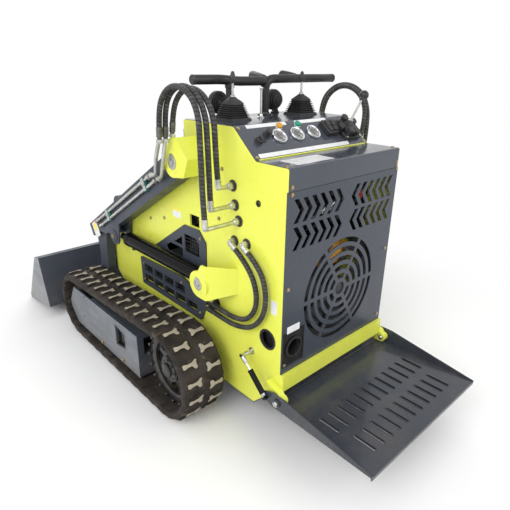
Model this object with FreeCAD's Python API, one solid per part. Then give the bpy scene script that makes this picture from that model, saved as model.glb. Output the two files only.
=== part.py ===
"""Mini track loader: a ride-behind tracked loader with lift arms, bucket and folding platform.

Machine frame while modelling, in millimetres: +X forward to the bucket, +Y to the machine's left,
+Z up, x = 0 at the rear panel, y = 0 on the centre plane, z = 0 on the ground.
Every piece is moved along X at the end, so that the origin lies under the middle of the outline.
"""
import FreeCAD, Part
import math
import os
from FreeCAD import Vector

# ---- driving dimensions: body ---------------------------------------------------------------
body_width = 580.0          # over the two side plates
half = body_width / 2.0
side_thickness = 8.0        # side plates
sheet = 4.0                 # covers, panels and belly
panel_bottom = 298.0        # lower edge of the rear panel
hood_seam = 930.0           # where the rear hood's lip meets the rear panel
hood_height = 1001.0        # flat hood behind the console
hood_length = 142.0
console_length = 105.0      # the sloped console, along X
deck_height = 1093.0
deck_front = 516.0          # front edge of the top deck
front_lip_bottom = 975.0    # where the front hood starts to slope
nose_x = 1173.0
nose_top = 440.0
nose_bottom = 318.0
belly_front = 957.0
ground_clearance = 101.0
belly_rear = 132.0
skid_x = 48.0               # front face of the rear cross bar
skid_bottom = 188.0
bar_depth = 60.0            # rear cross bar, along X
bar_height = 63.0
tie_x = 68.0                # tie-down hole in each side plate
tie_z = 408.0
tie_radius = 35.0

# ---- rear grille ----------------------------------------------------------------------------
fan_height = 534.0
fan_rings = 5
fan_ring_pitch = 33.5
fan_slot = 18.0
fan_first_radius = 48.0
fan_eye = 24.0
fan_spokes = 6
fan_spoke = 15.0
chevrons = 6
chevron_pitch = 39.0
chevron_height = 76.0
chevron_stroke = 20.0
chevron_depth = 26.0
chevron_first = 46.0
chevron_rows = (868.0, 780.0)
exhaust_y = 233.0
exhaust_z = 389.0
exhaust_radius = 35.0
exhaust_window = (104.0, 134.0)

# ---- tracks ---------------------------------------------------------------------------------
track_width = 180.0
track_inner = half + 60.0   # inner edge, from the centre plane
track_middle = track_inner + track_width / 2.0
track_thickness = 38.0
rear_wheel_x = 409.0
rear_radius = 190.0         # outside of the loop round the sprocket
front_wheel_x = 1175.0
front_radius = 166.0        # outside of the loop round the idler
seat_gap = 0.3
roller_radius = 42.0
roller_xs = (650.0, 768.0, 886.0, 1004.0)
frame_plate = 8.0
frame_outer = track_middle + 65.0
frame_inner = track_middle - 65.0
frame_rear = 600.0
frame_top = 254.0
frame_bottom = 52.0
frame_window = ((705, 144), (705, 214), (789, 228), (789, 128))   # in the outer plate, x and z
window_depth = 90.0
beam_xs = (670.0, 930.0)
beam_size = 60.0
beam_height = 200.0
final_drive_radius = 62.0
axle_radius = 16.0

# ---- lift arms ------------------------------------------------------------------------------
pivot_x = 454.0
pivot_z = 961.0
arm_inner = half + 13.0     # inner face, from the centre plane
arm_width = 60.0
arm_depth = 100.0
arm_slope = 30.6            # below the horizontal when lowered, degrees
arm_length = 921.0          # from the pivot to the front end
leg_width = 40.0
leg_depth = 75.0
knee_start = 770.0          # along the arm, where its lower half ends
pin_radius = 17.0
pin_fit = 0.05
lift_max = 78.0
bucket_pin_x = 1400.0
bucket_pin_z = 115.0
bucket_pin_radius = 12.0
leg_boss = 30.0

# ---- lift cylinders -------------------------------------------------------------------------
base_pin_x = 332.0
base_pin_z = 548.0
knee_pin_x = 1005.0
knee_pin_z = 540.0
barrel_radius = 30.0
barrel_wall = 5.0
barrel_length = 590.0       # from the base pin to the gland
rod_radius = 15.0
rod_fit = 0.05
eye_radius = 28.0
eye_gap = 0.5
lobe_radius = 42.0
lobe_plate = 8.0
bracket_plate = 8.0
bracket_gap = 12.0          # between the arm's outer face and the bracket's outer plate
bracket_round = 52.0
bracket_top = 85.0          # above the arm's pivot
base_bracket_round = 50.0

# ---- tilt cylinder --------------------------------------------------------------------------
tilt_base_x = 1120.0
tilt_base_z = 735.0
tilt_lever = 90.0           # tilt pin above the bucket pin
tilt_back = 45.0            # and behind it
tilt_barrel_radius = 30.0
tilt_barrel_length = 400.0
tilt_rod_radius = 16.0
tilt_pin_radius = 14.0
tilt_ear_gap = 70.0
tilt_ear = 10.0
tilt_ear_round = 38.0
upper_tube_x = 1062.0
upper_tube_z = 664.0
cross_tube_radius = 42.0
lower_tube_x = 1210.0
lower_tube_z = 325.0
lower_tube_radius = 28.0

# ---- bucket, in its own level frame with the pin at zero ------------------------------------
bucket_width = 1140.0
bucket_tip = 384.0          # ahead of the pin
bucket_drop = 40.0          # floor below the pin
bucket_heel = 38.0
bucket_height = 268.0
bucket_back_lean = 10.0     # how far the back's top leads its heel
bucket_sheet = 6.0
bucket_tilt = 11.0          # nose down at rest, degrees
edge_thickness = 14.0
edge_depth = 90.0
plate_half_width = arm_inner - 41.0
plate_thickness = 14.0
bucket_back_range = 33.0
bucket_dump_range = 105.0

# ---- platform -------------------------------------------------------------------------------
hinge_x = -22.0
hinge_z = 215.0
platform_half_width = half + 36.0
platform_length = 382.0     # from the hinge to the rear edge
platform_plate = 4.0
platform_drop = 24.0        # tread below the hinge axis
platform_lip = 12.0         # rear lip below the tread
flange_rise = 30.0          # flange above the hinge axis
slot_length = 88.0
slot_width = 12.0
slot_pitch = 46.0
hinge_pin_radius = 9.0
ear_outer = half + 26.0
stud_offset = 50.0          # strut stud ahead of the hinge
strut_plane = half + 46.0
strut_top_x = 145.0
strut_top_z = 325.0
strut_tube_radius = 10.0
strut_rod_radius = 4.5
strut_tube_length = 104.0
platform_max = 85.0

# ---- hoses ----------------------------------------------------------------------------------
hose_radius = 9.0
pipe_radius = 7.0


# ---- geometry helpers -----------------------------------------------------------------------
def box(x0, x1, y0, y1, z0, z1):
    """Block between two corners."""
    return Part.makeBox(x1 - x0, y1 - y0, z1 - z0, Vector(x0, y0, z0))


def rod(start, end, radius):
    """Round bar between two points."""
    a = Vector(*start)
    b = Vector(*end)
    return Part.makeCylinder(radius, (b - a).Length, a, b - a)


def pin_y(x, z, radius, y0, y1):
    """Round bar across the machine."""
    return rod((x, y0, z), (x, y1, z), radius)


def plate(points, y0, y1):
    """Flat plate with an outline in the XZ plane, from y0 to y1."""
    outline = [Vector(x, y0, z) for x, z in points]
    face = Part.Face(Part.makePolygon(outline + outline[:1]))
    return face.extrude(Vector(0, y1 - y0, 0))


def panel_x(points, x0, x1):
    """Flat plate with an outline in the YZ plane, from x0 to x1."""
    outline = [Vector(x0, y, z) for y, z in points]
    face = Part.Face(Part.makePolygon(outline + outline[:1]))
    return face.extrude(Vector(x1 - x0, 0, 0))


def fuse(shapes):
    """One solid out of pieces that are welded together."""
    joined = shapes[0].multiFuse(shapes[1:]) if len(shapes) > 1 else shapes[0]
    return joined.removeSplitter()


def group(shapes):
    """Separate solids that share a node."""
    return Part.makeCompound(shapes)


def mirror(shape):
    """The same piece on the machine's other side."""
    return shape.mirror(Vector(0, 0, 0), Vector(0, 1, 0))


def both(shape):
    """A left-hand piece and its mirror image."""
    return group([shape, mirror(shape)])


def turn_point(point, centre, degrees):
    """A point in the XZ plane turned about a centre, positive nose up."""
    a = math.radians(degrees)
    dx = point[0] - centre[0]
    dz = point[1] - centre[1]
    return (centre[0] + dx * math.cos(a) - dz * math.sin(a),
            centre[1] + dx * math.sin(a) + dz * math.cos(a))


def inset(points, depth):
    """Corners of a closed outline, listed clockwise, moved inwards by the sheet's thickness."""
    moved = []
    count = len(points)
    for i in range(count):
        x0, z0 = points[i - 1]
        x1, z1 = points[i]
        x2, z2 = points[(i + 1) % count]
        a = math.atan2(z1 - z0, x1 - x0) - math.pi / 2.0
        b = math.atan2(z2 - z1, x2 - x1) - math.pi / 2.0
        grow = depth / math.cos((b - a) / 2.0)
        mid = (a + b) / 2.0
        if abs(b - a) > math.pi:
            mid += math.pi
            grow = -depth / math.cos((b - a) / 2.0)
        moved.append((x1 + grow * math.cos(mid), z1 + grow * math.sin(mid)))
    return moved


# ---- body shell -----------------------------------------------------------------------------
console_front = hood_length + console_length
shell = [(0, panel_bottom), (0, hood_seam), (0, hood_height), (hood_length, hood_height),
         (console_front, deck_height), (deck_front, deck_height), (deck_front, front_lip_bottom),
         (nose_x, nose_top), (nose_x, nose_bottom), (belly_front, ground_clearance),
         (belly_rear, ground_clearance), (skid_x, skid_bottom), (skid_x, panel_bottom)]
lining = inset(shell, sheet)
bar_bottom = panel_bottom - bar_height


def cover(first, last):
    """Folded sheet that follows the shell from one corner to another, over both side plates."""
    run = shell[first:last + 1] + lining[first:last + 1][::-1]
    return plate(run, -half, half)


def side_grille_outlines():
    """Openings in the side plate: the upper three-cornered one and the long lower one."""
    upper = [(738, 548), (530, 684), (446, 686), (415, 655), (415, 575), (486, 530)]
    lower = [(874, 442), (870, 345), (446, 343), (416, 412), (560, 455)]
    return upper, lower


def side_plate():
    """Left side plate, lying inside the folded covers and notched round the cross bar."""
    outline = lining[1:-1]
    outline += [(skid_x + sheet, bar_bottom), (skid_x, bar_bottom), (skid_x, panel_bottom)]
    outline += [(sheet, panel_bottom)]
    body = plate(outline, half - side_thickness, half)
    upper, lower = side_grille_outlines()
    cuts = [plate(upper, half - 20, half + 20), plate(lower, half - 20, half + 20)]
    cuts.append(pin_y(tie_x, tie_z, tie_radius, half - 20, half + 20))
    cuts.append(pin_y(123, 873, 9, half - 20, half + 20))
    cuts.append(box(440, 500, half - 20, half + 20, 706, 752))
    return body.cut(Part.makeCompound(cuts))


def side_grilles():
    """Slate grilles over the openings in one side plate."""
    upper, lower = side_grille_outlines()
    rim = 16.0
    top = plate(grow(upper, rim), half, half + 5)
    windows = [plate([(536, 664), (462, 664), (440, 645), (440, 590), (536, 590)], half, half + 5),
               plate([(552, 648), (612, 610), (552, 610)], half, half + 5),
               plate([(552, 598), (640, 598), (676, 574), (660, 556), (552, 556)], half, half + 5)]
    top = top.cut(Part.makeCompound(windows))
    bottom = plate(grow(lower, rim), half, half + 12)
    cuts = []
    for i in range(5):
        x0 = 452 + i * 83
        cuts.append(box(x0 + 6, x0 + 76, half, half + 12, 348, 386))
        if i > 0:
            cuts.append(box(x0 + 6, x0 + 76, half, half + 12, 400, 436))
    bottom = bottom.cut(Part.makeCompound(cuts))
    return [top, bottom]


def grow(points, rim):
    """An outline listed anticlockwise or clockwise, grown outwards by a rim."""
    area = sum(points[i - 1][0] * points[i][1] - points[i][0] * points[i - 1][1]
               for i in range(len(points)))
    clockwise = points if area < 0 else points[::-1]
    return inset(clockwise, -rim)


def chevron(y, z, point):
    """One chevron slot in the rear panel, whose point looks along Y by the given sign."""
    tip = y + point * chevron_depth
    rise = chevron_height / 2.0
    stroke = chevron_stroke * point
    outline = [(y, z + rise), (y + stroke, z + rise), (tip + stroke, z),
               (y + stroke, z - rise), (y, z - rise), (tip, z)]
    return panel_x(outline, -1, sheet + 1)


def fan_grille():
    """Cuts for the fan: rings of arc slots parted by spokes, round an open eye."""
    cuts = []
    for i in range(fan_rings):
        radius = fan_first_radius + i * fan_ring_pitch
        outer = rod((-1, 0, fan_height), (sheet + 1, 0, fan_height), radius + fan_slot / 2)
        inner = rod((-2, 0, fan_height), (sheet + 2, 0, fan_height), radius - fan_slot / 2)
        cuts.append(outer.cut(inner))
    rings = Part.makeCompound(cuts)
    reach = fan_first_radius + fan_rings * fan_ring_pitch
    for i in range(fan_spokes // 2):
        spoke = box(-2, sheet + 2, -reach, reach, fan_height - fan_spoke / 2, fan_height + fan_spoke / 2)
        angle = 360.0 * i / fan_spokes
        rings = rings.cut(spoke.rotate(Vector(0, 0, fan_height), Vector(1, 0, 0), angle))
    eye = rod((-1, 0, fan_height), (sheet + 1, 0, fan_height), fan_eye)
    return [rings, eye]


def rear_panel():
    """Slate rear panel with chevron slots, fan grille and the exhaust window."""
    body = cover(0, 1)
    cuts = fan_grille()
    for z in chevron_rows:
        for i in range(chevrons):
            y = chevron_first + i * chevron_pitch
            cuts.append(chevron(y + chevron_stroke, z, -1))
            cuts.append(chevron(-y - chevron_stroke, z, 1))
    wide, tall = exhaust_window
    cuts.append(box(-1, sheet + 1, exhaust_y - wide / 2, exhaust_y + wide / 2,
                    exhaust_z - tall / 2, exhaust_z + tall / 2))
    return body.cut(Part.makeCompound(cuts))


def cross_bar():
    """Rear cross bar with the two ears that carry the platform."""
    bar = box(skid_x - bar_depth, skid_x, -half, half, bar_bottom, panel_bottom)
    bar = bar.cut(box(skid_x - bar_depth + 6, skid_x - 6, -half - 1, half + 1,
                      bar_bottom + 6, panel_bottom - 6))
    parts = [bar]
    ear_round = 18.0
    for side in (-1, 1):
        inner, outer = sorted((side * half, side * ear_outer))
        arm = plate([(hinge_x, hinge_z - ear_round), (30, hinge_z - ear_round),
                     (42, bar_bottom + 30), (skid_x - bar_depth, hinge_z + ear_round + 12),
                     (hinge_x, hinge_z + ear_round)], inner, outer)
        ear = arm.fuse(pin_y(hinge_x, hinge_z, ear_round, inner, outer))
        parts.append(ear)
    body = fuse(parts)
    bore = pin_y(hinge_x, hinge_z, hinge_pin_radius + pin_fit, -ear_outer - 1, ear_outer + 1)
    return body.cut(bore)


def engine_block():
    """Engine with its mounts, one plain block on the belly."""
    return box(150, 520, -190, 190, ground_clearance + sheet, 640)


def exhaust():
    """Muffler beside the engine with its tail pipe at the rear panel."""
    muffler = box(50, 160, 190, 262, exhaust_z - 58, exhaust_z + 58)
    pipe = rod((1, exhaust_y, exhaust_z), (60, exhaust_y, exhaust_z), exhaust_radius)
    bore = rod((0, exhaust_y, exhaust_z), (45, exhaust_y, exhaust_z), exhaust_radius - 4)
    return fuse([muffler, pipe]).cut(bore)


# ---- brackets on the side plates ------------------------------------------------------------
bracket_outer = arm_inner + arm_width + bracket_gap + bracket_plate


def arm_bracket():
    """Left bracket of the lift arm: rounded outer plate and a folded wall behind the arm."""
    outer = bracket_outer
    inner = outer - bracket_plate
    corners = [(-63, -43), (-92, 22), (-22, bracket_top), (4, bracket_top), (40, 33), (0, -bracket_round)]
    outline = [(pivot_x + x, pivot_z + z) for x, z in corners]
    cheek = plate(outline, inner, outer)
    cheek = cheek.fuse(pin_y(pivot_x, pivot_z, bracket_round, inner, outer))
    wall = plate(outline[:3] + inset(outline, bracket_plate)[:3][::-1], half, inner)
    return fuse([cheek, wall]).cut(pin_y(pivot_x, pivot_z, pin_radius, inner - 1, outer + 1))


def base_bracket():
    """Left bracket of the lift cylinder: rounded outer plate and a tapering rear wing."""
    outer = bracket_outer
    inner = outer - bracket_plate
    low = base_pin_z - base_bracket_round
    top = base_pin_z + base_bracket_round + 30
    rear = base_pin_x - 40
    cheek = plate([(rear, low), (base_pin_x, low), (base_pin_x, base_pin_z + base_bracket_round),
                   (base_pin_x - 20, top), (rear, top)], inner, outer)
    cheek = cheek.fuse(pin_y(base_pin_x, base_pin_z, base_bracket_round, inner, outer))
    wing = base_wing(rear, inner, outer, low, top)
    return fuse([cheek, wing]).cut(pin_y(base_pin_x, base_pin_z, pin_radius, inner - 1, outer + 1))


def base_wing(rear, inner, outer, low, top):
    """Slanted wing from the bracket's rear edge to the side plate, narrower where it meets it."""
    outline = [Vector(rear, inner, low), Vector(rear, outer, low), Vector(rear - 74, half, low),
               Vector(rear - 64, half, low)]
    face = Part.Face(Part.makePolygon(outline + outline[:1]))
    wing = face.extrude(Vector(0, 0, top - low))
    side_view = [(half, low + 25), (inner, low), (outer, low), (outer, top), (inner, top),
                 (half, top - 10)]
    return wing.common(panel_x(side_view, rear - 80, rear + 1))


def pivot_pin(x, z, head):
    """Left pin through a bracket, from the side plate to a head outside the bracket."""
    shaft = pin_y(x, z, pin_radius, half, bracket_outer)
    cap = pin_y(x, z, head, bracket_outer, bracket_outer + 5)
    return shaft.fuse(cap)


# ---- deck, console and controls -------------------------------------------------------------
lever_x = 385.0
lever_y = 172.0
boot_base = 86.0
boot_shoulder = 50.0        # width where the bellows end
boot_height = 75.0
bellows_height = 58.0
knob_z = deck_height + 123.0
rail_height = deck_height + 129.0
rail_radius = 16.0
rail_x = 447.0
rail_left = 289.0
rail_right = 434.0
post_y = 134.0
lamp_z = deck_height + 49.0


def boot(side):
    """Square bellows boot on the deck, tapering in steps to a collar."""
    steps = 5
    fold = bellows_height / steps
    y = side * lever_y
    pieces = []
    for i in range(steps):
        size = (boot_base - (boot_base - boot_shoulder) * i / (steps - 1)) / 2
        low = deck_height + i * fold
        pieces.append(box(lever_x - size, lever_x + size, y - size, y + size, low, low + fold))
    tip = Part.makeCone(boot_shoulder / 2, 10, boot_height - bellows_height,
                        Vector(lever_x, y, deck_height + bellows_height))
    return fuse(pieces + [tip])


def drive_lever(side):
    """Thin lever that leaves the boot, with a pointed knob."""
    y = side * lever_y
    low = deck_height + boot_height
    shaft = rod((lever_x, y, low), (lever_x, y, knob_z), 4)
    base = rod((lever_x, y, low), (lever_x, y, low + 8), 8)
    knob = Part.makeCone(10, 5, 34, Vector(lever_x, y, knob_z))
    return fuse([base, shaft, knob])


def hand_rail():
    """Fixed grab frame: two posts, two cross bars and two short horns."""
    middle_y = -38.0
    left = (rail_x, rail_left, rail_height)
    middle = (rail_x, middle_y, rail_height)
    right_in = (rail_x, -98, rail_height)
    right_out = (rail_x, -rail_right, rail_height)
    horn_a = (rail_x + 118, middle_y + 4, rail_height + 12)
    horn_b = (rail_x + 66, -150, rail_height + 15)
    pieces = [rod(left, middle, rail_radius), rod(right_in, right_out, rail_radius),
              rod(middle, right_in, rail_radius), rod(middle, horn_a, rail_radius),
              rod(right_in, horn_b, rail_radius)]
    for y in (post_y, middle_y):
        pieces.append(rod((rail_x, y, deck_height), (rail_x, y, rail_height), rail_radius - 2))
    for corner in (middle, right_in):
        pieces.append(Part.makeSphere(rail_radius + 1, Vector(*corner)))
    return fuse(pieces)


def console_place(y, along, shape_height, radius):
    """Round instrument standing on the sloped console, along is measured up the slope."""
    slope = math.atan2(deck_height - hood_height, console_length)
    foot = Vector(hood_length + along * math.cos(slope), y, hood_height + along * math.sin(slope))
    out = Vector(-math.sin(slope), 0, math.cos(slope))
    return Part.makeCylinder(radius, shape_height, foot, out)


def console_instruments():
    """Gauges, switches and push buttons on the console."""
    pieces = []
    for y in (130.0, 45.0, -38.0):
        pieces.append(console_place(y, 78, 9, 29))
    pieces.append(console_place(226, 70, 14, 13))
    pieces.append(console_place(178, 90, 24, 11))
    for y in (104.0, 14.0):
        pieces.append(console_place(y, 118, 14, 12))
    return pieces


def control_box():
    """Dark switch box on the console, ahead of the valve lever."""
    slope = math.degrees(math.atan2(deck_height - hood_height, console_length))
    block = box(0, 62, -152, -96, 0, 26)
    block.rotate(Vector(0, 0, 0), Vector(0, 1, 0), -slope)
    lift = Vector(hood_length, 0, hood_height)
    along = 52.0
    angle = math.radians(slope)
    lift = lift + Vector(along * math.cos(angle), 0, along * math.sin(angle))
    return block.translate(lift)


def valve_lever():
    """Valve block with its boot, rod and ball knob at the console's right end."""
    slope = math.atan2(deck_height - hood_height, console_length)
    foot = Vector(hood_length + 70 * math.cos(slope), -206, hood_height + 70 * math.sin(slope))
    out = Vector(-math.sin(slope), 0, math.cos(slope))
    base = Part.makeCylinder(30, 34, foot, out)
    start = foot + out * 30
    knob = Vector(200, -322, deck_height + 75)
    shaft = Part.makeCylinder(5.5, (knob - start).Length, start, knob - start)
    ball = Part.makeSphere(18, knob)
    return fuse([base, shaft, ball])


def work_light(side):
    """Round lamp on a short bracket at the deck's front edge."""
    y = side * 140.0
    lamp = rod((474, y, lamp_z), (518, y, lamp_z), 40)
    stem = box(488, 500, y - 16, y + 16, deck_height, lamp_z - 16)
    return fuse([lamp, stem])


# ---- tracks ---------------------------------------------------------------------------------
def loop_face(trim, y):
    """Face bounded by the track's outline, drawn in by a trim, in the plane y."""
    rear = Vector(rear_wheel_x, y, rear_radius)
    front = Vector(front_wheel_x, y, front_radius)
    r1 = rear_radius - trim
    r2 = front_radius - trim
    d = front - rear
    heading = math.atan2(d.z, d.x)
    spread = math.acos((r1 - r2) / d.Length)

    def at(centre, radius, angle):
        return centre + Vector(radius * math.cos(angle), 0, radius * math.sin(angle))

    top = heading + spread
    low = heading - spread
    a = at(rear, r1, top)
    b = at(front, r2, top)
    c = at(front, r2, low)
    e = at(rear, r1, low)
    edges = [Part.LineSegment(a, b).toShape(),
             Part.Arc(b, at(front, r2, heading), c).toShape(),
             Part.LineSegment(c, e).toShape(),
             Part.Arc(e, at(rear, r1, heading + math.pi), a).toShape()]
    return Part.Face(Part.Wire(edges))


def track():
    """Left rubber track, a closed loop."""
    outer = loop_face(0.0, track_inner).extrude(Vector(0, track_width, 0))
    inner = loop_face(track_thickness, track_inner - 1).extrude(Vector(0, track_width + 2, 0))
    return outer.cut(inner)


def track_frame():
    """Left track frame: outer and inner plates joined by a box along their top."""
    front = front_wheel_x
    outline = [(frame_rear, frame_bottom), (frame_rear, frame_top), (front + 46, frame_top - 8),
               (front + 108, front_radius - 12), (front + 102, front_radius - 52),
               (front + 42, frame_bottom)]
    outer = plate(outline, frame_outer - frame_plate, frame_outer)
    inner = plate(outline, frame_inner, frame_inner + frame_plate)
    mid = front - front_radius + track_thickness - 14
    lid = box(frame_rear, mid, frame_inner + frame_plate, frame_outer - frame_plate,
              frame_top - 116, frame_top)
    lid = lid.cut(box(frame_rear - 1, frame_rear + 90, frame_inner + 30, frame_outer - 30,
                      frame_top - 96, frame_top - 20))
    window = plate(frame_window, frame_outer - window_depth, frame_outer + 1)
    return fuse([outer, inner, lid]).cut(window)


def sprocket():
    """Left drive sprocket with its hub and final drive."""
    centre = (rear_wheel_x, rear_radius)
    radius = rear_radius - track_thickness - seat_gap
    disc = pin_y(*centre, radius, track_middle - 16, track_middle + 16)
    windows = []
    for i in range(8):
        x, z = turn_point((centre[0] + radius * 0.62, centre[1]), centre, 45.0 * i)
        windows.append(pin_y(x, z, radius * 0.17, track_middle - 17, track_middle + 17))
    disc = disc.cut(Part.makeCompound(windows))
    drive = pin_y(*centre, final_drive_radius, half, track_middle - 16)
    hub = pin_y(*centre, final_drive_radius - 10, track_middle + 16, track_middle + 38)
    return fuse([disc, drive, hub])


def idler():
    """Left front idler on its axle between the frame's plates."""
    radius = front_radius - track_thickness - seat_gap
    wheel = pin_y(front_wheel_x, front_radius, radius, track_middle - 35, track_middle + 35)
    axle = pin_y(front_wheel_x, front_radius, axle_radius, frame_inner + frame_plate,
                 frame_outer - frame_plate)
    return fuse([wheel, axle])


def roller(x):
    """One left bottom roller on its axle."""
    z = track_thickness + seat_gap + roller_radius
    wheel = pin_y(x, z, roller_radius, track_middle - 40, track_middle + 40)
    axle = pin_y(x, z, axle_radius - 4, frame_inner + frame_plate, frame_outer - frame_plate)
    return fuse([wheel, axle])


def track_beam(x):
    """One beam that carries the left track frame on the side plate."""
    return box(x - beam_size / 2, x + beam_size / 2, half, frame_inner,
               beam_height - beam_size / 2, beam_height + beam_size / 2)


# ---- lift arms ------------------------------------------------------------------------------
def arm_point(along, across):
    """Point on the lowered arm: along it from the pivot, and across it, positive above."""
    a = math.radians(-arm_slope)
    return (pivot_x + along * math.cos(a) - across * math.sin(a),
            pivot_z + along * math.sin(a) + across * math.cos(a))


def lift_arm():
    """Left lift arm: main box, knee lobes for the cylinder and the leg down to the bucket."""
    deep = arm_depth / 2.0
    y0 = arm_inner
    y1 = arm_inner + arm_width
    beam = plate([arm_point(0, -deep), arm_point(0, deep), arm_point(arm_length, deep - 5),
                  arm_point(arm_length, -18), arm_point(knee_start + 60, -18),
                  arm_point(knee_start, -deep)], y0, y1)
    root = pin_y(pivot_x, pivot_z, deep, y0, y1)
    pieces = [beam, root]
    knee = (knee_pin_x, knee_pin_z)
    skirt = [arm_point(600, -deep + 10), arm_point(knee_start, -deep + 10),
             (knee_pin_x + lobe_radius, knee_pin_z), (knee_pin_x - lobe_radius, knee_pin_z)]
    for low in (y0, y1 - lobe_plate):
        pieces.append(plate(skirt, low, low + lobe_plate))
        pieces.append(pin_y(*knee, lobe_radius, low, low + lobe_plate))
    pieces.append(pin_y(*knee, pin_radius, y1, y1 + 6))
    leg_y = y0 + leg_width
    pin = (bucket_pin_x, bucket_pin_z)
    leg = [arm_point(arm_length, -12), (1228, 395), (1240, 320), (1330, 225),
           (pin[0] + leg_boss, pin[1]), (pin[0], pin[1] - leg_boss), (1300, 136),
           (1178, 262), (1150, 330), (1148, 420), arm_point(knee_start + 20, -12)]
    pieces.append(plate(leg, y0, leg_y))
    pieces.append(pin_y(*pin, leg_boss, y0, leg_y))
    body = fuse(pieces)
    body = body.cut(pin_y(pivot_x, pivot_z, pin_radius + pin_fit, y0 - 1, y1 + 1))
    return body.cut(pin_y(*pin, bucket_pin_radius + pin_fit, y0 - 1, leg_y + 1))


def cross_tubes():
    """Two tubes between the arms; the upper one carries the tilt cylinder's ears."""
    upper = pin_y(upper_tube_x, upper_tube_z, cross_tube_radius, -arm_inner, arm_inner)
    ears = []
    for side in (-1, 1):
        y0, y1 = sorted((side * tilt_ear_gap / 2, side * (tilt_ear_gap / 2 + tilt_ear)))
        ear = plate([(upper_tube_x - 20, upper_tube_z - 10), (upper_tube_x + 30, upper_tube_z - 20),
                     (tilt_base_x + 28, tilt_base_z), (tilt_base_x - 20, tilt_base_z + 18)], y0, y1)
        ears.append(ear.fuse(pin_y(tilt_base_x, tilt_base_z, 28, y0, y1)))
    bridge = fuse([upper] + ears)
    bridge = bridge.cut(pin_y(tilt_base_x, tilt_base_z, tilt_pin_radius + pin_fit, -60, 60))
    lower = pin_y(lower_tube_x, lower_tube_z, lower_tube_radius, -arm_inner, arm_inner)
    return group([bridge, lower])


def arm_pipes():
    """Two hard pipes with clamps along the left arm's outer face."""
    y = pipe_plane
    pieces = []
    for place in ("middle", "outer"):
        along, across = pipe_landings[place]
        start = arm_point(along + pipe_radius + seat_gap, across)
        end = arm_point(880, across)
        pieces.append(rod((start[0], y, start[1]), (end[0], y, end[1]), pipe_radius))
    for along in (236.0, 680.0):
        clamp = plate([arm_point(along, 4), arm_point(along, 52), arm_point(along + 18, 52),
                       arm_point(along + 18, 4)], arm_inner + arm_width, y + pipe_radius + 3)
        pieces.append(clamp)
    return fuse(pieces)


# ---- cylinders ------------------------------------------------------------------------------
def along_line(start, end, distance):
    """Point at a distance from the start on the line to the end, in the XZ plane."""
    length = math.dist(start, end)
    return (start[0] + (end[0] - start[0]) * distance / length,
            start[1] + (end[1] - start[1]) * distance / length)


def barrel(base, tip, y, radius, length, eye_half, bore, rod_r):
    """Cylinder barrel: eye, closed foot, tube and gland."""
    foot = along_line(base, tip, radius + 4)
    end = along_line(base, tip, length)
    neck = along_line(base, tip, radius - 8)
    hollow = along_line(base, tip, radius + 22)
    gland = along_line(base, tip, length - 34)
    body = rod((foot[0], y, foot[1]), (end[0], y, end[1]), radius)
    link = rod((base[0], y, base[1]), (foot[0], y, foot[1]), radius * 0.6)
    eye = pin_y(*base, radius - 3, y - eye_half, y + eye_half)
    whole = fuse([body, link, eye])
    inside = rod((hollow[0], y, hollow[1]), (gland[0], y, gland[1]), radius - barrel_wall)
    outlet = rod((neck[0], y, neck[1]), (end[0], y, end[1]), rod_r + rod_fit)
    outlet = outlet.cut(rod((neck[0], y, neck[1]), (hollow[0], y, hollow[1]), radius * 2))
    whole = whole.cut(inside).cut(outlet)
    return whole.cut(pin_y(*base, bore, y - radius * 2, y + radius * 2))


def piston_rod(base, tip, y, rod_r, start, eye_r, eye_half):
    """Rod from inside the barrel to its eye; the eye holds its own bushing and is left open."""
    low = along_line(base, tip, start)
    shaft = rod((low[0], y, low[1]), (tip[0], y, tip[1]), rod_r)
    eye = pin_y(*tip, eye_r, y - eye_half, y + eye_half)
    return fuse([shaft, eye])


lift_base = (base_pin_x, base_pin_z)
lift_tip = (knee_pin_x, knee_pin_z)
lift_plane = arm_inner + arm_width / 2.0
lift_eye_half = arm_width / 2.0 - lobe_plate - eye_gap


def tilt_pin():
    """The tilt pin's place at rest."""
    return turn_point((bucket_pin_x - tilt_back, bucket_pin_z + tilt_lever),
                      (bucket_pin_x, bucket_pin_z), -bucket_tilt)


# ---- bucket ---------------------------------------------------------------------------------
def place_bucket(shape):
    """Turn a piece from the bucket's level frame to its place at rest."""
    shape.rotate(Vector(0, 0, 0), Vector(0, 1, 0), bucket_tilt)
    return shape.translate(Vector(bucket_pin_x, 0, bucket_pin_z))


def back_x(z):
    """The bucket's outer back surface at a height above its floor."""
    return bucket_heel + bucket_back_lean * (z + bucket_drop) / bucket_height


def bucket_shell():
    """Open bucket: two side plates, floor, back and a folded top rail."""
    top = bucket_height - bucket_drop
    floor = -bucket_drop
    wide = bucket_width / 2.0
    t = bucket_sheet
    back_top = back_x(top)
    side = [(bucket_heel, floor), (back_top, top), (back_top + 60, top),
            (bucket_tip - 30, floor + 20), (bucket_tip - 30, floor)]
    pieces = [plate(side, wide - t, wide), plate(side, -wide, -wide + t)]
    pieces.append(box(bucket_heel, bucket_tip - 60, -wide, wide, floor, floor + t))
    pieces.append(plate([(bucket_heel, floor), (back_top, top), (back_top + t, top),
                         (bucket_heel + t, floor)], -wide, wide))
    pieces.append(plate([(back_top, top), (back_top + 58, top), (back_top + 58, top - t),
                         (back_top, top - t)], -wide, wide))
    return place_bucket(fuse(pieces))


def cutting_edge():
    """Bolted cutting edge along the bucket's lip, laid on the floor plate."""
    floor = -bucket_drop
    wide = bucket_width / 2.0 - bucket_sheet
    low = bucket_tip - edge_depth
    lip = floor + bucket_sheet
    edge = plate([(low, lip), (low, lip + edge_thickness), (bucket_tip - 26, lip + edge_thickness),
                  (bucket_tip, floor), (bucket_tip - 60, floor), (bucket_tip - 60, lip)],
                 -wide, wide)
    return place_bucket(edge)


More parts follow.
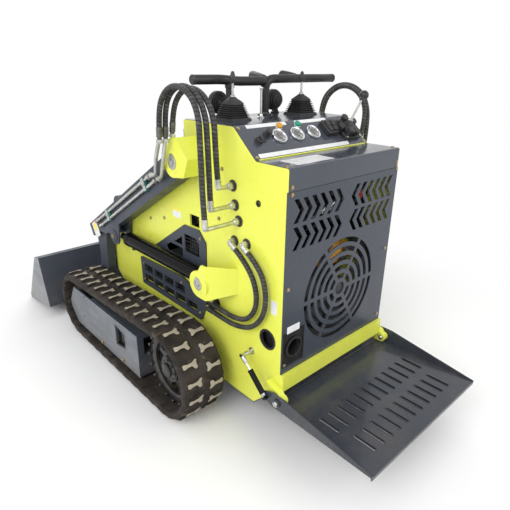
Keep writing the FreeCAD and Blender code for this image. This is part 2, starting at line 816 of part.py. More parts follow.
def attachment_plate():
    """Quick-attach plate on the bucket's back, with hinge ears, pins and tilt ears."""
    wide = plate_half_width
    low = -bucket_drop + 8
    high = bucket_height - bucket_drop - 30
    t = plate_thickness
    body = plate([(back_x(low) - t, low), (back_x(high) - t, high), (back_x(high), high),
                  (back_x(low), low)], -wide, wide)
    pieces = [body]
    for side in (-1, 1):
        y0, y1 = sorted((side * (arm_inner - 5), side * (wide - 6)))
        ear = plate([(back_x(low), low), (0, -24), (-12, 22), (20, 60), (back_x(60), 60)], y0, y1)
        pieces.append(ear.fuse(pin_y(0, 0, 26, y0, y1)))
        p0, p1 = sorted((side * (wide - 6), side * (arm_inner + leg_width + 2)))
        pieces.append(pin_y(0, 0, bucket_pin_radius, p0, p1))
        e0, e1 = sorted((side * tilt_ear_gap / 2, side * (tilt_ear_gap / 2 + tilt_ear)))
        lug = plate([(back_x(20), 20), (-tilt_back - 20, tilt_lever - 32),
                     (-tilt_back - 12, tilt_lever + 36), (back_x(176), 176)], e0, e1)
        pieces.append(lug.fuse(pin_y(-tilt_back, tilt_lever, tilt_ear_round, e0, e1)))
    return place_bucket(fuse(pieces))


# ---- platform -------------------------------------------------------------------------------
def step_platform():
    """Folding platform: slotted tread, rear lip, tapering flanges, hinge bosses and strut stud."""
    tread = hinge_z - platform_drop
    rear = hinge_x - platform_length
    front = hinge_x + 26
    wide = platform_half_width
    t = platform_plate
    deck = box(rear, front, -wide, wide, tread - t, tread)
    slots = []
    columns = ((rear + 50, 11), (rear + 172, 12))
    for x0, count in columns:
        for i in range(count):
            y = (i - (count - 1) / 2.0) * slot_pitch
            slots.append(box(x0, x0 + slot_length, y - slot_width / 2, y + slot_width / 2,
                             tread - t - 1, tread + 1))
    deck = deck.cut(Part.makeCompound(slots))
    pieces = [deck]
    flange = [(front, tread - t), (front, hinge_z + flange_rise), (hinge_x - 30, hinge_z + flange_rise),
              (rear, tread + 3), (rear, tread - t)]
    tail = [(front - 1, tread - t), (front - 1, hinge_z + flange_rise),
            (hinge_x + stud_offset + 14, hinge_z + 14), (hinge_x + stud_offset + 14, hinge_z - 14)]
    for y0, y1 in ((wide - t, wide), (-wide, -wide + t)):
        pieces.append(plate(flange, y0, y1))
    pieces.append(plate(tail, wide - t, wide))
    pieces.append(box(rear, rear + t, -wide, wide, tread - platform_lip, tread))
    for side in (-1, 1):
        y0, y1 = sorted((side * (half + 2), side * (wide + 8)))
        pieces.append(pin_y(hinge_x, hinge_z, hinge_pin_radius, y0, y1))
        y0, y1 = sorted((side * wide, side * (wide + 6)))
        pieces.append(pin_y(hinge_x, hinge_z, 15, y0, y1))
    stud_x = hinge_x + stud_offset
    pieces.append(pin_y(stud_x, hinge_z, 9, wide, strut_plane - 7))
    return fuse(pieces)


strut_low = (hinge_x + stud_offset, hinge_z)
strut_high = (strut_top_x, strut_top_z)


def strut_tube():
    """Black gas strut tube; its socket sits on the platform's stud."""
    end = along_line(strut_low, strut_high, strut_tube_length)
    start = along_line(strut_low, strut_high, 14)
    y = strut_plane
    body = rod((start[0], y, start[1]), (end[0], y, end[1]), strut_tube_radius)
    neck = rod((strut_low[0], y, strut_low[1]), (start[0], y, start[1]), 5)
    socket = pin_y(*strut_low, 9, y - 6.5, y + 6.5)
    begin = along_line(strut_low, strut_high, 26)
    bore = rod((begin[0], y, begin[1]), (end[0], y, end[1]), strut_rod_radius + rod_fit)
    return fuse([body, neck, socket]).cut(bore)


def strut_rod():
    """Silver gas strut rod with the socket at its upper end."""
    y = strut_plane
    begin = along_line(strut_low, strut_high, 30)
    shaft = rod((begin[0], y, begin[1]), (strut_high[0], y, strut_high[1]), strut_rod_radius)
    socket = pin_y(*strut_high, 9, y - 6.5, y + 6.5)
    return fuse([shaft, socket])


def strut_stud():
    """Ball stud on the left side plate for the strut's upper end."""
    return pin_y(strut_top_x, strut_top_z, 8, half, strut_plane - 7)


# ---- hoses ----------------------------------------------------------------------------------
crimp_length = 30.0
pipe_landings = {"middle": (150.0, -6.0), "outer": (190.0, 24.0)}
pipe_bends = {"middle": [(480, 112, 968), (516, 100, 900)], "outer": [(500, 128, 972), (545, 105, 905)]}
pipe_plane = arm_inner + arm_width + pipe_radius + 1
upper_routes = {
    "left_inner": [(444, 89, 1090), (436, 89, 1133), (407, 89, 1176), (358, 89, 1203),
                   (302, 88, 1201), (254, 88, 1172), (226, 87, 1123), (226, 84, 1055),
                   (233, 76, 992), (241, 66, 936)],
    "left_middle": [(448, 115, 1077), (444, 115, 1131), (416, 115, 1181), (366, 115, 1209),
                    (310, 115, 1209), (260, 114, 1181), (232, 112, 1131), (230, 110, 1058),
                    (231, 107, 985), (233, 104, 925), (234, 102, 874)],
    "left_outer": [(448, 138, 1077), (444, 138, 1131), (416, 138, 1181), (366, 138, 1209),
                   (310, 138, 1209), (260, 137, 1181), (232, 137, 1131), (230, 137, 1058),
                   (226, 138, 970), (222, 139, 886), (218, 138, 823)],
    "right_inner": [(444, 89, 1082), (436, 89, 1125), (407, 89, 1168), (358, 89, 1195),
                    (302, 88, 1193), (254, 88, 1164), (226, 87, 1115), (226, 83, 1047),
                    (233, 74, 982), (240, 64, 924)],
    "right_middle": [(474, 115, 1066), (472, 115, 1116), (443, 115, 1167), (386, 115, 1200),
                     (318, 114, 1200), (260, 113, 1167), (230, 112, 1108), (226, 109, 1030),
                     (229, 106, 955), (234, 103, 890)]}
# points of the routes and bends: x, distance outside the side plate, z
lower_routes = {
    "front": [(212, 22, 702), (150, 22, 664), (104, 22, 596), (102, 22, 518),
              (150, 22, 454), (232, 22, 432), (314, 22, 438)],
    "rear": [(150, 22, 708), (92, 22, 674), (58, 22, 604), (62, 22, 514),
             (118, 22, 438), (200, 22, 408), (280, 22, 404), (346, 22, 408)]}


def outside(points, side):
    """Route points beside one side plate, from their distances outside it."""
    return [(x, side * (half + out), z) for x, out, z in points]


def hose_end(route, last):
    """Where a crimp ends beyond a route's first or last point, straight on."""
    near, far = (route[-1], route[-2]) if last else (route[0], route[1])
    a = Vector(*near)
    step = (a - Vector(*far)).normalize()
    return a, a + step * crimp_length


def hose(route, label):
    """Hose along a route: straight runs joined by tangent arcs as large as the runs allow."""
    points = [Vector(*p) for p in route]
    edges = []
    radii = []
    last = points[0]
    for i in range(1, len(points) - 1):
        before = (points[i - 1] - points[i])
        after = (points[i + 1] - points[i])
        cut = 0.45 * min(before.Length, after.Length)
        turn = math.pi - before.getAngle(after)
        radii.append(cut / math.tan(turn / 2.0))
        a = points[i] + before.normalize() * cut
        b = points[i] + after.normalize() * cut
        bisector = (before + after).normalize()
        centre = points[i] + bisector * math.hypot(cut, radii[-1])
        mid = centre - bisector * radii[-1]
        edges.append(Part.LineSegment(last, a).toShape())
        edges.append(Part.Arc(a, mid, b).toShape())
        last = b
    edges.append(Part.LineSegment(last, points[-1]).toShape())
    path = Part.Wire(edges)
    start = points[1] - points[0]
    ring = Part.Wire(Part.makeCircle(hose_radius, points[0], start))
    solid = path.makePipeShell([ring], True, False)
    expected = math.pi * hose_radius ** 2 * path.Length
    print(f"{label}: radii {[round(r) for r in radii]}, length {path.Length:.0f}, "
          f"volume ratio {solid.Volume / expected:.4f}")
    return solid


def fitting(route, last, reach):
    """Crimp straight on from a hose's end, then an elbow and pipe through a side plate."""
    end, corner = hose_end(route, last)
    side = 1 if end.y > 0 else -1
    crimp = Part.makeCylinder(hose_radius + 1.5, crimp_length, end, corner - end)
    bend = Part.makeSphere(pipe_radius + 2, corner)
    pipe = rod(corner, (corner.x, side * reach, corner.z), pipe_radius)
    nut = rod((corner.x, side * (half + 3), corner.z), (corner.x, side * (half + 18), corner.z), 13)
    return fuse([crimp, bend, pipe, nut])


def side_of(name):
    """The sign of y on a piece's side."""
    return 1 if name.startswith("left") else -1


def port_holes(y_side):
    """Holes in one side plate for the upper hoses' pipes."""
    holes = []
    for name, points in upper_routes.items():
        corner = hose_end(outside(points, side_of(name)), True)[1]
        if side_of(name) == y_side:
            holes.append(pin_y(corner.x, corner.z, pipe_radius + 8,
                               y_side * half - 20, y_side * half + 20))
    return holes


def crimp(route):
    """Crimp on a hose's front end, and the point where its pipe goes on."""
    end, corner = hose_end(route, False)
    return Part.makeCylinder(hose_radius + 1.5, crimp_length, end, corner - end), corner


def arm_fitting(route, place):
    """Crimp and bent pipe from an upper hose's front end to the arm's outer face."""
    shell_piece, corner = crimp(route)
    side = 1 if corner.y > 0 else -1
    landing_x, landing_z = arm_point(*pipe_landings[place])
    stops = [tuple(corner)] + outside(pipe_bends[place], side) + [(landing_x, side * pipe_plane, landing_z)]
    pieces = [shell_piece]
    for start, end in zip(stops[:-1], stops[1:]):
        pieces.append(rod(start, end, pipe_radius))
    pieces += [Part.makeSphere(pipe_radius, Vector(*stop)) for stop in stops]
    return fuse(pieces)


def bracket_fitting(route):
    """Crimp and short pipe from a hose's front end down to the arm bracket's top edge."""
    shell_piece, corner = crimp(route)
    pipe = rod(tuple(corner), (corner.x, corner.y, pivot_z + bracket_top), pipe_radius)
    return fuse([shell_piece, pipe])


# ---- the model ------------------------------------------------------------------------------
def build():
    """Every node by name, in the machine frame."""
    nodes = {}
    plain_plate = side_plate()
    nodes["left_side_plate"] = plain_plate.cut(Part.makeCompound(port_holes(1)))
    nodes["right_side_plate"] = mirror(plain_plate).cut(Part.makeCompound(port_holes(-1)))
    nodes["rear_panel"] = rear_panel()
    nodes["rear_hood"] = cover(1, 3)
    nodes["console_panel"] = cover(3, 4)
    nodes["top_deck"] = cover(4, 5)
    nodes["front_hood"] = cover(5, 7)
    nodes["belly_plate"] = cover(7, 11)
    nodes["cross_bar"] = cross_bar()
    grilles = side_grilles()
    nodes["side_grilles"] = group(grilles + [mirror(g) for g in grilles])
    nodes["engine_block"] = engine_block()
    nodes["exhaust"] = exhaust()
    nodes["arm_brackets"] = both(arm_bracket())
    nodes["cylinder_brackets"] = both(base_bracket())
    pins = [pivot_pin(pivot_x, pivot_z, 27), pivot_pin(base_pin_x, base_pin_z, 25)]
    nodes["pivot_pins"] = group(pins + [mirror(p) for p in pins])
    nodes["lever_boots"] = group([boot(1), boot(-1)])
    nodes["drive_levers"] = group([drive_lever(1), drive_lever(-1)])
    nodes["hand_rail"] = hand_rail()
    nodes["console_instruments"] = group(console_instruments() + [control_box()])
    nodes["valve_lever"] = valve_lever()
    nodes["work_lights"] = group([work_light(1), work_light(-1)])
    left_track = track()
    nodes["left_track"] = left_track
    nodes["right_track"] = mirror(left_track)
    nodes["track_frames"] = both(track_frame())
    nodes["sprockets"] = both(sprocket())
    nodes["idlers"] = both(idler())
    rollers = [roller(x) for x in roller_xs]
    nodes["track_rollers"] = group(rollers + [mirror(r) for r in rollers])
    beams = [track_beam(x) for x in beam_xs]
    nodes["track_beams"] = group(beams + [mirror(b) for b in beams])

    left_arm = lift_arm()
    nodes["left_lift_arm"] = left_arm
    nodes["right_lift_arm"] = mirror(left_arm)
    nodes["arm_cross_tubes"] = cross_tubes()
    nodes["arm_pipes"] = both(arm_pipes())

    left_barrel = barrel(lift_base, lift_tip, lift_plane, barrel_radius, barrel_length,
                         arm_width / 2.0 - 4, pin_radius + pin_fit, rod_radius)
    left_rod = piston_rod(lift_base, lift_tip, lift_plane, rod_radius, 90, eye_radius, lift_eye_half)
    nodes["left_lift_barrel"] = left_barrel
    nodes["right_lift_barrel"] = mirror(left_barrel)
    nodes["left_lift_rod"] = left_rod
    nodes["right_lift_rod"] = mirror(left_rod)

    tilt_base = (tilt_base_x, tilt_base_z)
    half_eye = tilt_ear_gap / 2.0 - eye_gap
    body = barrel(tilt_base, tilt_pin(), 0, tilt_barrel_radius, tilt_barrel_length, half_eye - 4,
                  tilt_pin_radius, tilt_rod_radius)
    stub = pin_y(*tilt_base, tilt_pin_radius, -tilt_ear_gap / 2 - tilt_ear, tilt_ear_gap / 2 + tilt_ear)
    nodes["tilt_barrel"] = fuse([body, stub])
    nodes["tilt_rod"] = piston_rod(tilt_base, tilt_pin(), 0, tilt_rod_radius, 112, 24, half_eye)

    nodes["bucket_shell"] = bucket_shell()
    nodes["cutting_edge"] = cutting_edge()
    nodes["attachment_plate"] = attachment_plate()

    nodes["step_platform"] = step_platform()
    nodes["strut_tube"] = strut_tube()
    nodes["strut_rod"] = strut_rod()

    fittings = []
    arm_fittings = []
    for name, points in upper_routes.items():
        side, place = name.split("_")
        route = outside(points, side_of(name))
        nodes[f"{side}_arm_hose_{place}"] = hose(route, name)
        fittings.append(fitting(route, True, half - side_thickness - 6))
        if place == "inner":
            fittings.append(bracket_fitting(route))
        else:
            arm_fittings.append(arm_fitting(route, place))
    for name, points in lower_routes.items():
        route = outside(points, 1)
        left = hose(route, name)
        nodes[f"left_lift_hose_{name}"] = left
        nodes[f"right_lift_hose_{name}"] = mirror(left)
        for last in (False, True):
            piece = fitting(route, last, half)
            fittings += [piece, mirror(piece)]
    nodes["arm_hose_fittings"] = group(arm_fittings)
    nodes["hose_fittings"] = group(fittings + [strut_stud()])
    return nodes


def machine_limits():
    """Front and rear limits of the machine along X."""
    tip = turn_point((bucket_pin_x + bucket_tip, bucket_pin_z - bucket_drop),
                     (bucket_pin_x, bucket_pin_z), -bucket_tilt)
    return hinge_x - platform_length, tip[0]


if __name__ == "__main__":
    rear_limit, front_limit = machine_limits()
    shift = Vector(-(rear_limit + front_limit) / 2.0, 0, 0)
    os.makedirs("parts", exist_ok=True)
    for name, shape in build().items():
        shape.translate(shift)
        shape.exportStep(f"parts/{name}.step")
        print(name, len(shape.Solids), shape.isValid(), round(shape.Volume / 1e6, 3))
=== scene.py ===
"""Looks of the mini track loader, laid out as a Blender add-on and run as a script.

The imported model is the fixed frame. Shapes are worked out in the machine's own millimetres, with
x = 0 at the rear panel and z = 0 on the ground, and are moved to the frame's metres when a mesh is made.
"""
import math

import bmesh
import bpy
import numpy as np
from bpy.props import FloatProperty, FloatVectorProperty, IntProperty, PointerProperty
from mathutils import Matrix, Vector


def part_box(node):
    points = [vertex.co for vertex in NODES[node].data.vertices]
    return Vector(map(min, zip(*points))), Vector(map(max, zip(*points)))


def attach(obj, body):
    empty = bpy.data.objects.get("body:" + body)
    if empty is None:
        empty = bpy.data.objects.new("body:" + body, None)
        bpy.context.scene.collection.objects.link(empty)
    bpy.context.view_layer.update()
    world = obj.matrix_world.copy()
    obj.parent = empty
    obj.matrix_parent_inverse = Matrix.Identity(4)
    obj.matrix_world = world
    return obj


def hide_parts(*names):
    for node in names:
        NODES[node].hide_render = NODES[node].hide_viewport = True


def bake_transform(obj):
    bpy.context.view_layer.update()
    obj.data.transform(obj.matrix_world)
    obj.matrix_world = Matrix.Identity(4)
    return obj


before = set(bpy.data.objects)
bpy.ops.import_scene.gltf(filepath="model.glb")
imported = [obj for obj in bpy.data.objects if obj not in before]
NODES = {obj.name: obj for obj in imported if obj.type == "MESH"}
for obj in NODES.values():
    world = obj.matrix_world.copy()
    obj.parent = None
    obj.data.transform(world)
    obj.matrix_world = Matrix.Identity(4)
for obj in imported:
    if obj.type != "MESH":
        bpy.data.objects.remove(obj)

bl_info = {
    "name": "Mini track loader looks",
    "version": (1, 0, 0),
    "blender": (4, 5, 0),
    "location": "View3D > Sidebar > Loader",
    "description": "Finishes and detail pieces for the packed mini track loader",
    "category": "Object",
}

for spare in ("Cube", "Light", "Camera"):
    if spare in bpy.data.objects:
        bpy.data.objects.remove(bpy.data.objects[spare])
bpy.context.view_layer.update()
TAU = 2.0 * math.pi

# The machine's main places in millimetres; a pair is x and z.
REAR_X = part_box("rear_panel")[0].x          # the rear panel's outer face, in metres
HALF = 290.0                                # half the body's width
HOOD, DECK = 1001, 1093                     # heights of the rear hood and of the top deck
PIVOT = (454.0, 961.0)                      # the lift arm's pivot
KNEE = (1005, 540)                          # the lift cylinder's pin on the arm
BUCKET_PIN = (1400, 115)
LIFT_FOOT = (332, 548)                      # the lift cylinder's pin on the body
TILT_FOOT = (1120, 735)                     # the tilt cylinder's pin on the arms
CYLINDER_Y = 333.0
HINGE = (-22, 332, 215)                     # the left end of the platform's hinge
STRUT_LOW, STRUT_HIGH, STRUT_Y = (28, 215), (145, 325), 336.0
BAR = (-12.0, 48.0, 235.0, 298.0)           # the cross bar: x from and to, z from and to
FRAME_FACE = 505                            # outer face of the track frames
ARM_SLOPE = math.radians(-30.6)
FRONT, BACK, OUT, UP = (1, 0, 0), (-1, 0, 0), (0, 1, 0), (0, 0, 1)
XZ = (FRONT, UP, OUT)                       # outline in x and z, carried along y
YZ = (OUT, UP, FRONT)                       # outline in y and z, carried along x


# ---- shapes: surfaces worked out as whole arrays ------------------------------------------------
class Shape:
    """Vertices in machine millimetres, four-cornered faces, a UV for each corner, and the material's
    index, one for all faces or one for each."""

    def __init__(self, points, faces, uv=None, tag=0):
        self.points = np.asarray(points, float).reshape(-1, 3)
        self.faces = np.asarray(faces, int)
        corners = self.faces.shape
        self.uv = np.zeros(corners + (2,)) if uv is None else uv
        self.tag = tag

    def moved(self, matrix, offset=(0, 0, 0)):
        """Every point times a 3 by 3 matrix, plus an offset."""
        return Shape(self.points @ np.asarray(matrix, float).T + np.asarray(offset, float),
                     self.faces, self.uv, self.tag)

    def mirrored(self):
        """The same shape on the machine's other side."""
        return self.moved(np.diag((1.0, -1.0, 1.0)))


def pair(shapes):
    """Shapes together with their mirror images."""
    return list(shapes) + [s.mirrored() for s in shapes]


def grid(points, wrap_u=False, wrap_v=False, tag=0, lengths=None):
    """Quads between neighbours of a (u, v) table of points; a wrapped side joins its last row to
    its first. The UV is the row's length along the surface and the share of the way round."""
    rows, columns = points.shape[:2]
    u = np.arange(rows if wrap_u else rows - 1)
    v = np.arange(columns if wrap_v else columns - 1)
    a, b = (t.ravel() for t in np.meshgrid(u, v, indexing="ij"))
    corner_u = np.stack([a, a + 1, a + 1, a], 1)
    corner_v = np.stack([b, b, b + 1, b + 1], 1)
    faces = (corner_u % rows) * columns + corner_v % columns
    along = np.arange(rows + 1, dtype=float) if lengths is None else np.append(lengths, lengths[-1])
    uv = np.stack([along[corner_u], corner_v / max(len(v), 1)], 2)
    return Shape(points, faces, uv, tag)


def axes(direction):
    """Unit vector along a direction and two across it."""
    w = np.asarray(direction, float)
    w = w / np.linalg.norm(w)
    hint = np.eye(3)[np.argmin(np.abs(w))]
    u = np.cross(hint, w)
    u /= np.linalg.norm(u)
    return u, np.cross(w, u), w


def revolve(profile, base, direction, count=32, tag=0):
    """Profile of (radius, height) turned about an axis: base + w h + r (u cos a + v sin a)."""
    u, v, w = axes(direction)
    r, h = np.asarray(profile, float).T
    a = np.linspace(0, TAU, count, endpoint=False)
    ring = np.cos(a)[:, None] * u + np.sin(a)[:, None] * v
    points = np.asarray(base, float) + h[:, None, None] * w + r[:, None, None] * ring
    return grid(points, wrap_v=True, tag=tag)


def hollow(profile, base, direction, count=32, tag=0):
    """Ring: a turned profile that comes back to its first point."""
    return revolve([*profile, profile[0]], base, direction, count, tag)


def rounded(points, radius, steps=4, closed=True):
    """Corners of an outline replaced by short curves, in two or three axes: the Bezier curve of a
    corner's two cuts and the corner itself. An open line keeps its two ends."""
    p = np.asarray(points, float)
    before, after = np.roll(p, 1, 0) - p, np.roll(p, -1, 0) - p
    lb, la = np.linalg.norm(before, axis=1), np.linalg.norm(after, axis=1)
    cut = np.minimum(radius, 0.45 * np.minimum(lb, la))[:, None]
    a, b = p + before / lb[:, None] * cut, p + after / la[:, None] * cut
    t = np.linspace(0, 1, steps + 1)[None, :, None]
    curves = (1 - t) ** 2 * a[:, None] + 2 * t * (1 - t) * p[:, None] + t * t * b[:, None]
    if closed:
        return curves.reshape(-1, p.shape[1])
    return np.vstack([p[:1], curves[1:-1].reshape(-1, p.shape[1]), p[-1:]])


def tube(path, radius, count=16, tag=0, ends=True):
    """Rings carried along a path: centre + r (side cos a + other sin a), side being the tangent
    crossed with the machine axis that the path runs along least."""
    path = np.asarray(path, float)
    tangent = np.gradient(path, axis=0)
    tangent /= np.linalg.norm(tangent, axis=1)[:, None]
    side = np.cross(tangent, np.eye(3)[np.argmin(np.abs(tangent).max(0))])
    side /= np.linalg.norm(side, axis=1)[:, None]
    other = np.cross(tangent, side)
    r = np.broadcast_to(np.asarray(radius, float), (len(path),))
    length = np.append(0, np.cumsum(np.linalg.norm(np.diff(path, axis=0), axis=1)))
    if ends:
        keep = np.r_[0, np.arange(len(path)), len(path) - 1]
        path, side, other, length = path[keep], side[keep], other[keep], length[keep]
        r = np.r_[0, r, 0]
    a = np.linspace(0, TAU, count, endpoint=False)
    ring = side[:, None] * np.cos(a)[:, None] + other[:, None] * np.sin(a)[:, None]
    return grid(path[:, None] + r[:, None, None] * ring, wrap_v=True, tag=tag, lengths=length / 1000)


def bar(points, radius, count=20, tag=0):
    """Tube with domed ends: at r (1 - cos q) from an end the ring's radius is r sin q."""
    p = np.asarray(points, float)
    q = np.linspace(0, math.pi / 2, 6)
    first = (p[1] - p[0]) / np.linalg.norm(p[1] - p[0])
    last = (p[-2] - p[-1]) / np.linalg.norm(p[-2] - p[-1])
    rise = (radius * (1 - np.cos(q)))[:, None]
    path = np.vstack([p[0] + first * rise, p[1:-1], (p[-1] + last * rise)[::-1]])
    radii = np.r_[radius * np.sin(q), np.full(len(p) - 2, radius), radius * np.sin(q)[::-1]]
    return tube(path, radii, count, tag, ends=False)


def ribbon(path, y0, y1, thick=4.0, tag=0):
    """Folded sheet: a path in x and z carried across from y0 to y1, with its thickness on the path's
    right-hand side: p + n d, n being the left-hand normal and d from 0 to -thick."""
    p = np.asarray(path, float)
    t = np.gradient(p, axis=0)
    t /= np.linalg.norm(t, axis=1)[:, None]
    d = np.array([0, 0, -1, 1 - thick, -thick, -thick, 1 - thick, -1])
    y = np.array([y0 + 1, y1 - 1, y1, y1, y1 - 1, y0 + 1, y0, y0])
    x = p[:, :1] - t[:, 1:] * d
    z = p[:, 1:] + t[:, :1] * d
    rows = np.stack([x, np.broadcast_to(y, x.shape), z], 2)
    first, last = (np.broadcast_to(r.mean(0), r.shape) for r in (rows[0], rows[-1]))
    return grid(np.concatenate([[first], rows, [last]]), wrap_v=True, tag=tag)


def slab(outline, low, high, origin=(0, 0, 0), frame_axes=None, edge=0.0, tag=0):
    """Flat piece: an outline in two axes, carried along the third from low to high. With an edge,
    the outline shrinks towards its middle by that much at both faces, which rounds the rim."""
    p = np.asarray(outline, float)
    middle = p.mean(0)
    reach = np.linalg.norm(p - middle, axis=1).mean()
    small = middle + (p - middle) * (1 - edge / reach)
    centre = np.broadcast_to(middle, p.shape)
    lip = min(edge, (high - low) / 2.5)
    rows = [(centre, low), (small, low), (p, low + lip), (p, high - lip), (small, high),
            (centre, high)]
    flat = np.stack([np.column_stack([q, np.full(len(q), h)]) for q, h in rows])
    basis = np.eye(3) if frame_axes is None else np.asarray(frame_axes, float)
    return grid(flat @ basis + np.asarray(origin, float), wrap_v=True, tag=tag)


def rim(outline, width, low, high, origin=(0, 0, 0), frame_axes=None, tag=0):
    """Raised band that follows a closed outline: the outline and the outline moved outwards by the
    width along its normals, joined from low to high."""
    p = np.asarray(outline, float)
    t = np.roll(p, -1, 0) - np.roll(p, 1, 0)
    n = np.column_stack([t[:, 1], -t[:, 0]]) / np.linalg.norm(t, axis=1)[:, None]
    n *= np.sign(((p - p.mean(0)) * n).sum())
    rows = [(0.0, low), (0.0, high), (width * 0.6, high), (width, low)]
    flat = np.stack([np.column_stack([p + n * w, np.full(len(p), h)]) for w, h in rows])
    basis = np.eye(3) if frame_axes is None else np.asarray(frame_axes, float)
    return grid(flat @ basis + np.asarray(origin, float), wrap_u=True, wrap_v=True, tag=tag)


def rectangle(a0, a1, b0, b1, radius=3.0):
    """Rounded rectangle between two corners."""
    return rounded([(a0, b0), (a1, b0), (a1, b1), (a0, b1)], radius)


def plate(a0, a1, b0, b1, low, high, frame_axes=None, tag=0):
    """Thin rounded rectangle, such as a label, from low to high."""
    return slab(rectangle(a0, a1, b0, b1), low, high, frame_axes=frame_axes, edge=0.2, tag=tag)


def block(x0, x1, y0, y1, z0, z1, edge=1.5, tag=0):
    """Block with rounded rims between two corners."""
    return slab(rectangle(x0, x1, y0, y1, edge * 2), z0, z1, edge=edge, tag=tag)


def nut(base, direction, radius, height, tag=0, count=6):
    """Chamfered hexagon: a six-sided turned profile."""
    profile = [(0, 0), (radius * 0.9, 0), (radius, height * 0.12), (radius, height * 0.85),
               (radius * 0.88, height), (0, height)]
    return revolve(profile, base, direction, count, tag)


def bolt(centre, direction, size=7.0, tag=0):
    """Hex head on a washer."""
    w = np.asarray(direction, float) / np.linalg.norm(direction)
    washer = revolve([(0, 0), (size * 1.35, 0), (size * 1.35, 1.2), (0, 1.2)], centre, w, 18, tag)
    return [washer, nut(np.asarray(centre, float) + w * 1.2, w, size, size * 0.7, tag)]


def bolts(places, direction, size=7.0, tag=0):
    """The same bolt at several places."""
    return [s for place in places for s in bolt(place, direction, size, tag)]


def side_bolts(places, y, size, tag=0):
    """Bolts on a face that looks outwards at y, each place being x and z."""
    return bolts([(x, y, z) for x, z in places], OUT, size, tag)


def arm_place(along, across):
    """Point in x and z on the lowered arm: along it from the pivot, and across it."""
    c, s = math.cos(ARM_SLOPE), math.sin(ARM_SLOPE)
    return PIVOT[0] + along * c - across * s, PIVOT[1] + along * s + across * c


CONSOLE_FOOT = (142, 0, HOOD)               # the sloped console's lower edge
CONSOLE_SLOPE = math.atan2(92.0, 105.0)
CONSOLE_AXES = np.array([(math.cos(CONSOLE_SLOPE), 0, math.sin(CONSOLE_SLOPE)), (0, 1, 0),
                         (-math.sin(CONSOLE_SLOPE), 0, math.cos(CONSOLE_SLOPE))])


def console_place(along, y, out=0.0):
    """Point on the sloped console: up the slope from its lower edge, across, and off its face."""
    return np.array(CONSOLE_FOOT) + np.array((along, y, out)) @ CONSOLE_AXES


# ---- finishes ------------------------------------------------------------------------------------
class Nodes:
    """Node tree of a material or a world."""

    def __init__(self, holder):
        holder.use_nodes = True
        self.tree = holder.node_tree

    def add(self, kind, settings=None, **inputs):
        """New node with its settings. An input goes by its name, or by n and its number, and is a
        number, a colour or another node's output."""
        node = self.tree.nodes.new("ShaderNode" + kind)
        for key, value in (settings or {}).items():
            setattr(node, key, value)
        for key, value in inputs.items():
            self.feed(node.inputs[int(key[1:]) if key[1:].isdigit() else key], value)
        return node

    def feed(self, socket, value):
        """Link an output or set a value on a socket."""
        if isinstance(value, bpy.types.NodeSocket):
            self.tree.links.new(value, socket)
        elif hasattr(value, "__len__") and len(value) == 3 and socket.type == "RGBA":
            socket.default_value = (*value, 1.0)
        else:
            socket.default_value = value

    def maths(self, operation, a, b=0.0, c=0.0):
        """One arithmetic step."""
        return self.add("Math", {"operation": operation}, n0=a, n1=b, n2=c).outputs[0]


class Finish(Nodes):
    """Node material whose noises read the piece's Object coordinates, or its UV map."""

    def __init__(self, name, metallic=0.0, coat=0.0, uv=False, specular=0.5):
        self.material = bpy.data.materials.new(name)
        super().__init__(self.material)
        self.shader = self.tree.nodes["Principled BSDF"]
        self.shader.inputs["Metallic"].default_value = metallic
        self.shader.inputs["Coat Weight"].default_value = coat
        self.shader.inputs["Specular IOR Level"].default_value = specular
        self.place = self.add("TexCoord").outputs["UV" if uv else "Object"]
        self.axis = self.add("SeparateXYZ", Vector=self.place).outputs

    def noise(self, scale, detail=4.0, roughness=0.55, stretch=(1, 1, 1)):
        """Noise from 0 to 1, finer with a larger scale; stretch divides its grain's length."""
        mapping = self.add("Mapping", Vector=self.place, Scale=stretch)
        texture = self.add("TexNoise", Vector=mapping.outputs[0], Scale=scale, Detail=detail,
                           Roughness=roughness)
        return texture.outputs[0]

    def step(self, value, low, high, out_low=0.0, out_high=1.0):
        """Smooth step between two values."""
        node = self.add("MapRange", {"interpolation_type": "SMOOTHSTEP"}, n0=value, n1=low,
                        n2=high, n3=out_low, n4=out_high)
        return node.outputs[0]

    def blend(self, amount, a, b):
        """Colour a turning into colour b."""
        return self.add("Mix", {"data_type": "RGBA"}, n0=amount, n6=a, n7=b).outputs[2]

    def finish(self, colour, roughness, height=None, strength=0.2, distance=0.001):
        """Connect colour, roughness and a bump to the shader."""
        self.feed(self.shader.inputs["Base Color"], colour)
        self.feed(self.shader.inputs["Roughness"], roughness)
        if height is not None:
            bump = self.add("Bump", Height=height, Strength=strength, Distance=distance)
            self.feed(self.shader.inputs["Normal"], bump.outputs[0])
        return self.material


FINISHES = {}


def finish_of(name):
    """Material by name, made once."""
    if name not in FINISHES:
        maker, *values = RECIPES[name]
        options = values.pop() if values and isinstance(values[-1], dict) else {}
        FINISHES[name] = maker(*values, **options)
    return FINISHES[name]


DUST = (0.30, 0.235, 0.165)


def settled_dust(f, top, most):
    """Amount of dust: more towards the ground, broken up by noise."""
    low = f.step(f.axis[2], 0.02, top, 1.0, 0.0)
    patches = f.step(f.noise(9.0, 6.0, 0.65), 0.38, 0.72)
    return f.maths("MULTIPLY", f.maths("MULTIPLY", low, patches), most)


